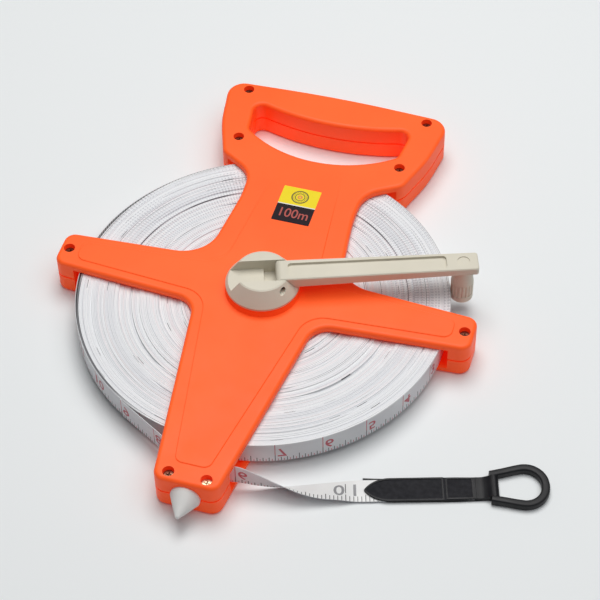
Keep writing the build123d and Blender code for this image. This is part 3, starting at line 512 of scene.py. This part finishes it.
windingAbove = makeWinding("winding_above", [drop * mm for drop in roll["terraces"]], {
    "Turns": roll["turnsAbove"], "Steps": roll["steps"], "Inner": roll["inner"], "Outer": roll["outer"],
    "Middle": roll["middle"], "Height": roll["top"] - roll["middle"], "Uneven": roll["uneven"],
    "Seed": roll["seed"],
})
windingBelow = makeWinding("winding_below", [], {
    "Turns": roll["turnsBelow"], "Steps": roll["stepsBelow"], "Inner": roll["inner"], "Outer": roll["outer"],
    "Middle": roll["middle"], "Height": roll["bottom"] - roll["middle"], "Uneven": -0.6 * roll["uneven"],
    "Seed": roll["seed"] + 31.0,
})
for piece in (windingAbove, windingBelow):
    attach(piece, "reel")
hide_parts("tape_roll")
print("wound tape:", len(windingAbove.data.polygons) + len(windingBelow.data.polygons), "faces")


# printed strips
tape = {
    "width": 13.0 * mm, "thickness": 0.3 * mm, "rollRadius": 100.0 * mm, "looseGap": 0.3 * mm,
    "guideY": -110.0 * mm, "guideRadius": 4.5 * mm, "runningFit": 0.06 * mm,
    "mouth": (20.5 * mm, -111.6 * mm), "heading": radians(17.0), "middle": 11.2 * mm,
    "mouthMark": 151.5 * mm, "metricShift": 2.4 * mm, "leadLength": 118.0 * mm, "leadSteps": 236,
    "runSteps": 90, "turnSteps": 240, "printSqueeze": 1.032,
    "swell": 1.3 * mm, "swellStart": 0.45, "swellEnd": 1.9,
    # distance from the mouth, shift aside and height of the low edge in millimetres, twist in degrees
    "stations": [(0, 0, 4.7, 0), (10, -1.9, 2.6, 11.5), (20, -3.6, 0.5, 28.4), (30, -4.8, 0.3, 50.6),
                 (40, -5.0, 0.5, 68.3), (50, -4.7, 0.8, 78), (60, -4.3, 1.175, 90)],
    "stationPitch": 10, "stationSteps": 20,
}
half = tape["thickness"] / 2
leaveRadius = tape["rollRadius"] + tape["looseGap"] + half
bendRadius = tape["guideRadius"] + tape["runningFit"] + half
leaveAngle = acos((leaveRadius - bendRadius) / -tape["guideY"])
mouthX, mouthY = tape["mouth"]
toMouth = hypot(mouthX, mouthY - tape["guideY"])
exitAngle = asin(bendRadius / toMouth) + atan2(mouthY - tape["guideY"], mouthX)
leadAlong = Vector((cos(tape["heading"]), sin(tape["heading"]), 0))
leadAside = Vector((-sin(tape["heading"]), cos(tape["heading"]), 0))
mouthPoint = Vector((mouthX, mouthY, 0))
up = Vector((0, 0, 1))


def beside(centreY, radius, heading):
    return Vector((radius * sin(heading), centreY - radius * cos(heading), 0))


runCorners = [beside(0, leaveRadius, -leaveAngle), beside(tape["guideY"], bendRadius, -leaveAngle),
              beside(tape["guideY"], bendRadius, exitAngle), mouthPoint]
runLengths = [(runCorners[1] - runCorners[0]).length, bendRadius * (leaveAngle + exitAngle),
              (runCorners[3] - runCorners[2]).length]
runLength = sum(runLengths)


def runSpot(distance):
    # distance from the end ring, growing towards the roll
    back = tape["mouthMark"] + runLength - distance
    if back < runLengths[0]:
        heading = -leaveAngle
        centre = runCorners[0].lerp(runCorners[1], back / runLengths[0])
    elif back < runLengths[0] + runLengths[1]:
        heading = -leaveAngle + (back - runLengths[0]) / bendRadius
        centre = beside(tape["guideY"], bendRadius, heading)
    else:
        heading = exitAngle
        centre = runCorners[2].lerp(runCorners[3], (back - runLengths[0] - runLengths[1]) / runLengths[2])
    return centre + up * tape["middle"], up, Vector((sin(heading), -cos(heading), 0))


turnRadius = tape["rollRadius"] - half
turnStart = atan2(runCorners[0].y, runCorners[0].x)
turnMark = tape["mouthMark"] + runLength


def turnSpot(distance):
    # the outer turn swells at the left, and its print is squeezed: an inch of it is 24.6 mm long
    travel = (distance - turnMark) / tape["printSqueeze"] / tape["rollRadius"]
    angle = turnStart - travel
    share = (travel - tape["swellStart"]) / (tape["swellEnd"] - tape["swellStart"])
    bulge = tape["swell"] * sin(min(max(share, 0.0), 1.0) * pi) ** 2
    outward = Vector((cos(angle), sin(angle), 0))
    return outward * (turnRadius + bulge) + up * tape["middle"], up, outward


leadCurve = throughPoints(tape["stations"], False, tape["stationSteps"])


def leadSpot(distance):
    along = (tape["mouthMark"] - distance) / mm
    place = min(max(along / tape["stationPitch"] * tape["stationSteps"], 0), len(leadCurve) - 1)
    index = min(int(place), len(leadCurve) - 2)
    share = place - index
    _, aside, low, twist = [a + (b - a) * share for a, b in zip(leadCurve[index], leadCurve[index + 1])]
    lean = radians(twist)
    across = up * cos(lean) - leadAside * sin(lean)
    centre = mouthPoint + leadAlong * along * mm + leadAside * aside * mm
    centre.z = low * mm + tape["width"] / 2 * cos(lean)
    return centre, across, leadAlong.cross(across).normalized()


def makeRibbon(name, spot, start, end, count, closed=False):
    bm = bmesh.new()
    layer = bm.loops.layers.uv.new("tape")
    rows = []
    for step in range(count if closed else count + 1):
        distance = start + (end - start) * step / count
        centre, across, outward = spot(distance)
        wide, thick = across * tape["width"] / 2, outward * half
        corners = ((-1, 1), (1, 1), (1, -1), (-1, -1))
        rows.append([bm.verts.new(centre + a * wide + b * thick) for a, b in corners])
    for step in range(count):
        near, far = rows[step], rows[(step + 1) % len(rows)]
        lengths = [start + (end - start) * (step + n) / count for n in (0, 1)]
        for side, (u, v) in enumerate(((0, 1), (1, 2), (2, 3), (3, 0))):
            face = bm.faces.new((near[u], near[v], far[v], far[u]))
            face.material_index = (0, 2, 1, 2)[side]
            face.smooth = True
            heights = ((0, 1), (1, 1), (1, 0), (0, 0))[side]
            if side == 2:
                # the metric face's print is shifted a little against the inch face's
                lengths = [length + tape["metricShift"] for length in lengths]
            order = ((0, 0), (0, 1), (1, 1), (1, 0))
            for loop, (n, m) in zip(face.loops, order):
                loop[layer].uv = (lengths[n], heights[m])
        for corner in range(4):
            bm.edges.get((near[corner], far[corner])).smooth = False
    if not closed:
        for row in (rows[0], rows[-1]):
            bm.faces.new(row).material_index = 2
    return finishPiece(name, bm, [inchFace, metricFace, tapeEdge])


digits = {
    "capShare": 0.7, "weight": 0.015, "stretch": 1.2, "lift": 0.03 * mm, "relief": 0.025 * mm,
    "inchAhead": 3.6 * mm, "inchAside": 0.4 * mm, "inchHeight": 6.2 * mm,
    "metricAside": -0.9 * mm, "metricHeight": 7.0 * mm,
}


def inchMark(inch):
    # the inches are numbered again from 1 in each foot
    distance = inch * inchLength - digits["inchAhead"]
    return str((inch - 1) % 12 + 1), distance, digits["inchAside"], digits["inchHeight"], 1, True


def printDigits(name, spot, marks, material):
    # each mark: text, distance, shift across, height, side of the tape, and if its top is at the low edge
    bm = bmesh.new()
    for text, distance, shift, height, side, flipped in marks:
        curve = bpy.data.curves.new("digit", "FONT")
        curve.body = text
        curve.align_x = "CENTER"
        curve.align_y = "CENTER"
        curve.size = height / digits["capShare"]
        curve.extrude = 0.5
        curve.offset = digits["weight"] * height
        curve.resolution_u = 3
        writer = bpy.data.objects.new("digit", curve)
        scene.collection.objects.link(writer)
        mesh = bpy.data.meshes.new_from_object(writer.evaluated_get(bpy.context.evaluated_depsgraph_get()))
        turned = -1 if flipped else 1
        reading = -side * turned
        for vertex in mesh.vertices:
            x, y, z = vertex.co
            centre, across, outward = spot(distance - x * reading * digits["stretch"])
            lift = half + digits["lift"] + digits["relief"] * z
            vertex.co = centre + across * (shift + y * turned) + outward * side * lift
        bm.from_mesh(mesh)
        bpy.data.objects.remove(writer)
        bpy.data.curves.remove(curve)
        bpy.data.meshes.remove(mesh)
    bmesh.ops.remove_doubles(bm, verts=bm.verts, dist=2e-6)
    return finishPiece(name, bm, [material])


turnEnd = turnMark + tau * tape["rollRadius"] * tape["printSqueeze"]
lastTurn = makeRibbon("last_turn", turnSpot, turnMark, turnEnd, tape["turnSteps"], closed=True)
turnDigits = printDigits("last_turn_digits", turnSpot, [inchMark(inch) for inch in range(10, 34)], redInk)
for piece in (lastTurn, turnDigits):
    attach(piece, "reel")

run = makeRibbon("tape_run_strip", runSpot, tape["mouthMark"], turnMark, tape["runSteps"])
runDigits = printDigits("tape_run_digits", runSpot, [inchMark(inch) for inch in (7, 8, 9)], redInk)
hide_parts("tape_run")
for piece in (run, runDigits):
    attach(piece, "frame")

leadEnd = tape["mouthMark"] - tape["leadLength"]
lead = makeRibbon("tape_lead_strip", leadSpot, leadEnd, tape["mouthMark"], tape["leadSteps"])
leadDigits = printDigits("tape_lead_digits", leadSpot, [inchMark(inch) for inch in (4, 5, 6)], redInk)
# the 10 of ten centimetres stands on both sides of its line
tenth = 100 * mm - tape["metricShift"]
leadMetric = printDigits("tape_lead_metric_digits", leadSpot, [
    (digit, tenth + shift * mm, digits["metricAside"], digits["metricHeight"], -1, False)
    for digit, shift in (("1", -4.6), ("0", 3.3))
], greyInk)
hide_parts("tape_lead")
for piece in (lead, leadDigits, leadMetric):
    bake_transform(piece)
print("printed strips ready")


# end tab: two layers over the tape, with a framed panel left bare
tab = {
    "aside": -4.3 * mm, "layer": 0.95 * mm, "gap": 0.45 * mm, "tip": 63.1 * mm, "lowerTip": 62.7 * mm,
    "point": 13.0 * mm, "halfWidth": 6.9 * mm, "neckHalf": 6.5 * mm, "end": 123.0 * mm,
    "frameEnd": 103.0 * mm, "rim": 0.95 * mm, "recess": 0.38 * mm, "stray": 1.2 * mm,
    "strayLength": 35.0 * mm, "taper": 14.0 * mm, "sunk": 0.05 * mm, "bar": 128.3 * mm, "loop": 2.25 * mm,
    # top line of the strap where it rises from the tape's end to the bar, in millimetres
    "rise": [(119.0, 2.3), (122.0, 2.34), (124.6, 3.1), (126.6, 4.05), (128.3, 4.44)],
}
tabSpace = Matrix.Translation(mouthPoint + leadAside * tab["aside"]) @ Matrix(
    (leadAlong, leadAside, up)
).transposed().to_4x4()


def arched(tip, end, halfWidth, endHalf, inset=0.0):
    # outline with an arched point, counter-clockwise from the far end's lower corner
    side = []
    for step in range(13):
        share = sin(step / 12 * pi / 2)
        side.append((
            tip + inset + (tab["point"] - inset * 0.4) * (1 - share),
            (halfWidth - inset) * (1 - share ** 2.1) ** 0.8,
        ))
    upper = [(end - inset, endHalf - inset), (end - inset - tab["taper"], halfWidth - inset)]
    upper += [spot for spot in side if spot[1] > 1e-6]
    return upper + [(tip + inset, 0.0)] + [(x, -y) for x, y in reversed(upper)]


def addSlab(bm, outline, low, high):
    bottom = [bm.verts.new((x, y, low)) for x, y in outline]
    top = [bm.verts.new((x, y, high)) for x, y in outline]
    bm.faces.new(list(reversed(bottom)))
    lid = bm.faces.new(top)
    for a in range(len(outline)):
        b = (a + 1) % len(outline)
        bm.faces.new((bottom[a], bottom[b], top[b], top[a]))
    return lid


bm = bmesh.new()
# the lower layer strays to the far side near its tip, which is pointed on one side only
stray = []
for x, y in arched(tab["lowerTip"], tab["end"], tab["halfWidth"], tab["neckHalf"]):
    near = max(0.0, 1 - (x - tab["lowerTip"]) / tab["strayLength"])
    onePointed = tab["halfWidth"] - abs(y) if x < tab["lowerTip"] + tab["point"] else 0.0
    stray.append((x, y + onePointed + tab["stray"] * near * near))
addSlab(bm, stray, 0.0, tab["layer"])
panel = 2 * tab["layer"] + tab["gap"] - tab["recess"]
lid = addSlab(
    bm, arched(tab["tip"], tab["end"], tab["halfWidth"], tab["neckHalf"]), tab["layer"] + tab["gap"], panel,
)
lid.material_index = 1
# raised border round the panel, standing on the upper layer
base = panel - tab["sunk"]
outer = arched(tab["tip"], tab["frameEnd"], tab["halfWidth"], tab["halfWidth"])
inner = arched(tab["tip"], tab["frameEnd"], tab["halfWidth"], tab["halfWidth"], tab["rim"])


def addBorder(bm, outer, inner, low, high):
    edges = ((outer, low), (outer, high), (inner, high), (inner, low))
    rings = [[bm.verts.new((x, y, z)) for x, y in line] for line, z in edges]
    count = len(outer)
    for a in range(count):
        b = (a + 1) % count
        for ring in range(4):
            first, second = rings[ring], rings[(ring + 1) % 4]
            bm.faces.new((first[a], first[b], second[b], second[a]))


addBorder(bm, outer, inner, base, 2 * tab["layer"] + tab["gap"])


def fieldOutline(fromFrame, fromEnd, startHalf, endHalf):
    start, end = tab["frameEnd"] + fromFrame, tab["end"] - fromEnd
    return [(start, -startHalf), (end, -endHalf), (end, endHalf), (start, startHalf)]


# second, plainer field between the panel and the strap's neck
fieldOuter = fieldOutline(1.0 * mm, 4.0 * mm, 6.6 * mm, 6.45 * mm)
fieldInner = fieldOutline(1.8 * mm, 6.0 * mm, 5.6 * mm, 5.5 * mm)
addBorder(bm, fieldOuter, fieldInner, base, 2 * tab["layer"] + tab["gap"] - 0.08 * mm)
# web between the two layers past the tape's end
web = {"start": 118.6 * mm, "half": 6.4 * mm, "low": 0.2 * mm, "high": 2.0 * mm}
webOutline = [(web["start"], -web["half"]), (tab["end"], -web["half"]), (tab["end"], web["half"]),
              (web["start"], web["half"])]
addSlab(bm, webOutline, web["low"], web["high"])
# strap that rises round the ring's bar
rise = throughPoints(tab["rise"], False, 4)
profile = [(x * mm, z * mm) for x, z in rise]
for lean in [radians(turned) for turned in range(15, 181, 15)]:
    wrap = tab["loop"] * 0.98
    profile.append((tab["bar"] + wrap * sin(lean), tab["loop"] + wrap * cos(lean)))
profile.append((tab["rise"][0][0] * mm, tab["sunk"]))
sides = [[bm.verts.new((x, y, z)) for x, z in profile] for y in (-tab["neckHalf"], tab["neckHalf"])]
bm.faces.new(sides[0])
bm.faces.new(list(reversed(sides[1])))
for a in range(len(profile)):
    b = (a + 1) % len(profile)
    bm.faces.new((sides[0][a], sides[1][a], sides[1][b], sides[0][b]))
bm.transform(tabSpace)
endTab = bevelPiece(finishPiece("end_tab_strap", bm, [blackStrap, blackPanel]), 0.16 * mm, 40)
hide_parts("end_tab")
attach(endTab, "tape_end")


# end ring: a rounded rail swept round its eye, and the bar that the strap turns on
ring = {
    "start": 126.4 * mm, "thickness": 4.5 * mm, "rail": 3.9 * mm, "bar": 1.35 * mm, "barHalf": 7.0 * mm,
    "sides": 20, "roundness": 0.55, "widening": 0.12, "length": 27.0,  # in millimetres, as the path is
    # middle of the rail in millimetres, measured from the ring's start
    "path": [(0.0, 7.4), (7.0, 8.9), (13.0, 10.35), (17.5, 11.0), (21.6, 10.0), (24.9, 7.4), (26.9, 3.9),
             (27.5, 0.0)],
}
line = throughPoints(ring["path"], False, 7)
line = line + [(x, -y) for x, y in reversed(line[:-1])]
bm = bmesh.new()
section = []
for step in range(ring["sides"]):
    lean = tau * step / ring["sides"]
    section.append(tuple(abs(c) ** ring["roundness"] * (1 if c > 0 else -1) for c in (cos(lean), sin(lean))))
rows = []
for index, (x, y) in enumerate(line):
    before, after = line[max(index - 1, 0)], line[min(index + 1, len(line) - 1)]
    heading = Vector((after[0] - before[0], after[1] - before[1])).normalized()
    side = Vector((-heading.y, heading.x))
    rail = ring["rail"] / mm / 2 * (1.0 + ring["widening"] * (x / ring["length"]) ** 2)
    rows.append([bm.verts.new((
        (x + side.x * a * rail) * mm, (y + side.y * a * rail) * mm, ring["thickness"] / 2 * (1 + b),
    )) for a, b in section])
for near, far in zip(rows, rows[1:]):
    for a in range(ring["sides"]):
        b = (a + 1) % ring["sides"]
        bm.faces.new((near[a], near[b], far[b], far[a]))
bm.faces.new(rows[0])
bm.faces.new(list(reversed(rows[-1])))
barPlace = Matrix.Translation((tab["bar"] - ring["start"], 0, tab["loop"]))
bmesh.ops.create_cone(
    bm, cap_ends=True, segments=28, radius1=ring["bar"], radius2=ring["bar"], depth=2 * ring["barHalf"],
    matrix=barPlace @ Matrix.Rotation(pi / 2, 4, "X"),
)
bm.transform(tabSpace @ Matrix.Translation((ring["start"], 0, 0)))
endRing = bevelPiece(finishPiece("hook_ring_rail", bm, [blackRing]), 0.2 * mm, 50)
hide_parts("hook_ring")
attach(endRing, "ring")
print("end tab and ring ready")


# label: yellow and black fields, the length and a plain round mark
label = {
    "width": 21.4 * mm, "height": 26.8 * mm, "centreY": 63.0 * mm, "panelTop": 22.9 * mm,
    "slope": 0.5 / 51.0,  # the panel falls by half a millimetre over its length
    "panelStart": 45.0 * mm, "corner": 0.5 * mm, "thickness": 0.15 * mm,
    "yellowFrom": 0.5, "lineAt": 0.495, "lineHalf": 0.012,  # shares of the height
}
labelZ = label["panelTop"] - (label["centreY"] - label["panelStart"]) * label["slope"]
labelUp = Vector((0, label["slope"], 1)).normalized()
labelSpace = Matrix.Translation((0, label["centreY"], labelZ)) @ Matrix((
    Vector((1, 0, 0)), labelUp.cross(Vector((1, 0, 0))), labelUp,
)).transposed().to_4x4()

labelFilm, tree, shader = startMaterial("label_film")
uv = addNode(tree, "ShaderNodeUVMap", uv_map="label").outputs["UV"]
axes = addNode(tree, "ShaderNodeSeparateXYZ", {0: uv})
place = addNode(tree, "ShaderNodeTexCoord").outputs["Object"]
cloud = noiseAt(tree, place, 150.0, 3.0)
yellow = mixRgb(tree, cloud, (0.92, 0.74, 0.03, 1), (0.86, 0.67, 0.02, 1))
dark = mixRgb(tree, cloud, (0.012, 0.006, 0.01, 1), (0.022, 0.012, 0.017, 1))
colour = mixRgb(tree, maths(tree, "GREATER_THAN", axes.outputs[1], label["yellowFrom"]), dark, yellow)
fromLine = maths(tree, "ABSOLUTE", maths(tree, "SUBTRACT", axes.outputs[1], label["lineAt"]))
line = maths(tree, "LESS_THAN", fromLine, label["lineHalf"])
colour = mixRgb(tree, line, colour, (0.8, 0.78, 0.74, 1))
tree.links.new(colour, shader.inputs["Base Color"])
tree.links.new(mapTo(tree, cloud, 0.4, 0.5), shader.inputs["Roughness"])
shader.inputs["Specular IOR Level"].default_value = 0.16
tree.links.new(bumpFrom(tree, noiseAt(tree, place, 90.0, 2.0), 0.2, 0.0002), shader.inputs["Normal"])

bm = bmesh.new()
outline = []
for cornerX, cornerY, startAngle in ((1, 1, 0), (-1, 1, 90), (-1, -1, 180), (1, -1, 270)):
    for step in range(5):
        lean = radians(startAngle + step * 22.5)
        outline.append((
            cornerX * (label["width"] / 2 - label["corner"]) + label["corner"] * cos(lean),
            cornerY * (label["height"] / 2 - label["corner"]) + label["corner"] * sin(lean),
        ))
addSlab(bm, outline, 0.0, label["thickness"])
layer = bm.loops.layers.uv.new("label")
for face in bm.faces:
    for loop in face.loops:
        loop[layer].uv = (loop.vert.co.x / label["width"] + 0.5, loop.vert.co.y / label["height"] + 0.5)
bm.transform(labelSpace)
labelPiece = finishPiece("printed_label", bm, [labelFilm])
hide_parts("data_label")


def flatText(name, body, size, centre, material, squeeze, weight):
    curve = bpy.data.curves.new(name, "FONT")
    curve.body = body
    curve.align_x = "CENTER"
    curve.align_y = "CENTER"
    curve.size = size
    curve.extrude = 0.02 * mm
    curve.offset = weight
    writer = bpy.data.objects.new(name, curve)
    scene.collection.objects.link(writer)
    mesh = bpy.data.meshes.new_from_object(writer.evaluated_get(bpy.context.evaluated_depsgraph_get()))
    bpy.data.objects.remove(writer)
    bpy.data.curves.remove(curve)
    mesh.transform(
        labelSpace @ Matrix.Translation((centre[0], centre[1], label["thickness"] + 0.022 * mm))
        @ Matrix.Diagonal((squeeze, 1, 1, 1))
    )
    mesh.materials.append(material)
    piece = bpy.data.objects.new(name, mesh)
    scene.collection.objects.link(piece)
    return piece


labelRed = inkMaterial("label_red", (0.45, 0.06, 0.045, 1))
labelOlive = inkMaterial("label_olive", (0.14, 0.11, 0.01, 1))
labelRust = inkMaterial("label_rust", (0.8, 0.3, 0.05, 1))
lengthText = flatText("label_length", "100m", 9.2 * mm, (0, -6.9 * mm), labelRed, 0.86, 0.07 * mm)

# plain round mark: two rings with a ring of ticks between them, and a small ring in the middle
mark = {
    "centre": (0.2 * mm, 6.6 * mm),
    "low": label["thickness"] - 0.01 * mm, "high": label["thickness"] + 0.04 * mm,
    "outerRing": (4.15 * mm, 4.9 * mm), "innerRing": (2.4 * mm, 2.85 * mm),
    "middleRing": (0.5 * mm, 1.5 * mm), "ticks": 24,
    "tickFrom": 3.2 * mm, "tickTo": 3.9 * mm, "tickHalf": 0.14 * mm,
}


def addRing(bm, inner, outer, count=40):
    x, y = mark["centre"]
    turns = [(cos(tau * step / count), sin(tau * step / count)) for step in range(count)]
    lines = [[(x + radius * c, y + radius * s) for c, s in turns] for radius in (outer, inner)]
    addBorder(bm, lines[0], lines[1], mark["low"], mark["high"])


bm = bmesh.new()
addRing(bm, *mark["outerRing"])
addRing(bm, *mark["innerRing"])
for step in range(mark["ticks"]):
    lean = tau * step / mark["ticks"]
    out = Vector((cos(lean), sin(lean)))
    over = Vector((-out.y, out.x)) * mark["tickHalf"]
    foot, tip = [Vector(mark["centre"]) + out * mark[place] for place in ("tickFrom", "tickTo")]
    block = [tuple(foot - over), tuple(tip - over), tuple(tip + over), tuple(foot + over)]
    addSlab(bm, block, mark["low"], mark["high"])
blocks = len(bm.faces)
addRing(bm, *mark["middleRing"])
bm.faces.ensure_lookup_table()
for face in bm.faces[blocks:]:
    face.material_index = 1
bm.transform(labelSpace)
labelMark = finishPiece("label_mark", bm, [labelOlive, labelRust])
for piece in (labelPiece, lengthText, labelMark):
    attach(piece, "frame")
print("label ready")


# materials of the CAD pieces that stay
finishes = {
    "upper_shell": orangePlastic, "lower_shell": orangePlastic, "frame_screws": screwPaintedShade,
    "ground_spike": spikePlastic, "tape_guide": postSteel, "spool_core": greyPlastic,
    "tape_anchor": greyPlastic, "crank_hub": palePlastic, "retaining_cap": palePlastic,
    "hub_washer": postSteel, "hub_screw": screwPaintedShade, "crank_pin": pinPaintedShade, "crank_arm": palePlastic,
    "knob_screw": screwPaintedShade, "knob": palePlastic,
}
for name, material in finishes.items():
    for slot in cadNodes[name].material_slots:
        slot.material = material


# floor, lamps and camera
floorMaterial, tree, shader = startMaterial("pale_floor")
place = addNode(tree, "ShaderNodeTexCoord").outputs["Object"]
tone = mixRgb(tree, noiseAt(tree, place, 3.0), (0.815, 0.845, 0.855, 1), (0.84, 0.86, 0.865, 1))
tree.links.new(tone, shader.inputs["Base Color"])
shader.inputs["Roughness"].default_value = 0.6
shader.inputs["Specular IOR Level"].default_value = 0.25
bm = bmesh.new()
bmesh.ops.create_grid(bm, x_segments=12, y_segments=12, size=4.0)
floor = finishPiece("floor", bm, [floorMaterial], outward=False)

lamps = {
    "key_lamp": {"place": (-0.1, 0.42, 1.3), "size": 0.9, "power": 9.0, "colour": (1.0, 0.99, 0.97)},
    "top_lamp": {"place": (0.3, 0.1, 1.6), "size": 2.2, "power": 17.0, "colour": (1, 1, 1)},
}
for name, values in lamps.items():
    light = bpy.data.lights.new(name, "AREA")
    light.shape = "DISK"
    light.size = values["size"]
    light.energy = values["power"]
    light.color = values["colour"]
    lamp = bpy.data.objects.new(name, light)
    scene.collection.objects.link(lamp)
    lamp.location = values["place"]
    # pointed at the origin
    lamp.rotation_euler = (-Vector(values["place"])).to_track_quat("-Z", "Y").to_euler()

world = bpy.data.worlds.new("studio")
scene.world = world
world.use_nodes = True
world.node_tree.nodes["Background"].inputs["Color"].default_value = (0.92, 0.95, 1.0, 1)
world.node_tree.nodes["Background"].inputs["Strength"].default_value = 0.11

camera = {
    "place": (0.21749, -0.62921, 0.78352), "azimuth": 17.384, "elevation": 49.2, "roll": -1.336,
    "lens": 114.03, "sensor": 36.0,
}
azimuth, elevation, rollAngle = [radians(camera[k]) for k in ("azimuth", "elevation", "roll")]
forward = Vector((-sin(azimuth) * cos(elevation), cos(azimuth) * cos(elevation), -sin(elevation)))
right = forward.cross(up).normalized()
above = right.cross(forward)
turnedRight = right * cos(rollAngle) + above * sin(rollAngle)
turnedUp = above * cos(rollAngle) - right * sin(rollAngle)
cameraData = bpy.data.cameras.new("camera")
cameraData.lens = camera["lens"]
cameraData.sensor_width = camera["sensor"]
cameraData.clip_start = 0.01
cameraData.clip_end = 50.0
cameraObject = bpy.data.objects.new("camera", cameraData)
scene.collection.objects.link(cameraObject)
cameraObject.matrix_world = Matrix.Translation(camera["place"]) @ Matrix(
    (turnedRight, turnedUp, -forward)
).transposed().to_4x4()
scene.camera = cameraObject
scene.view_settings.view_transform = "Standard"
print("stage ready")
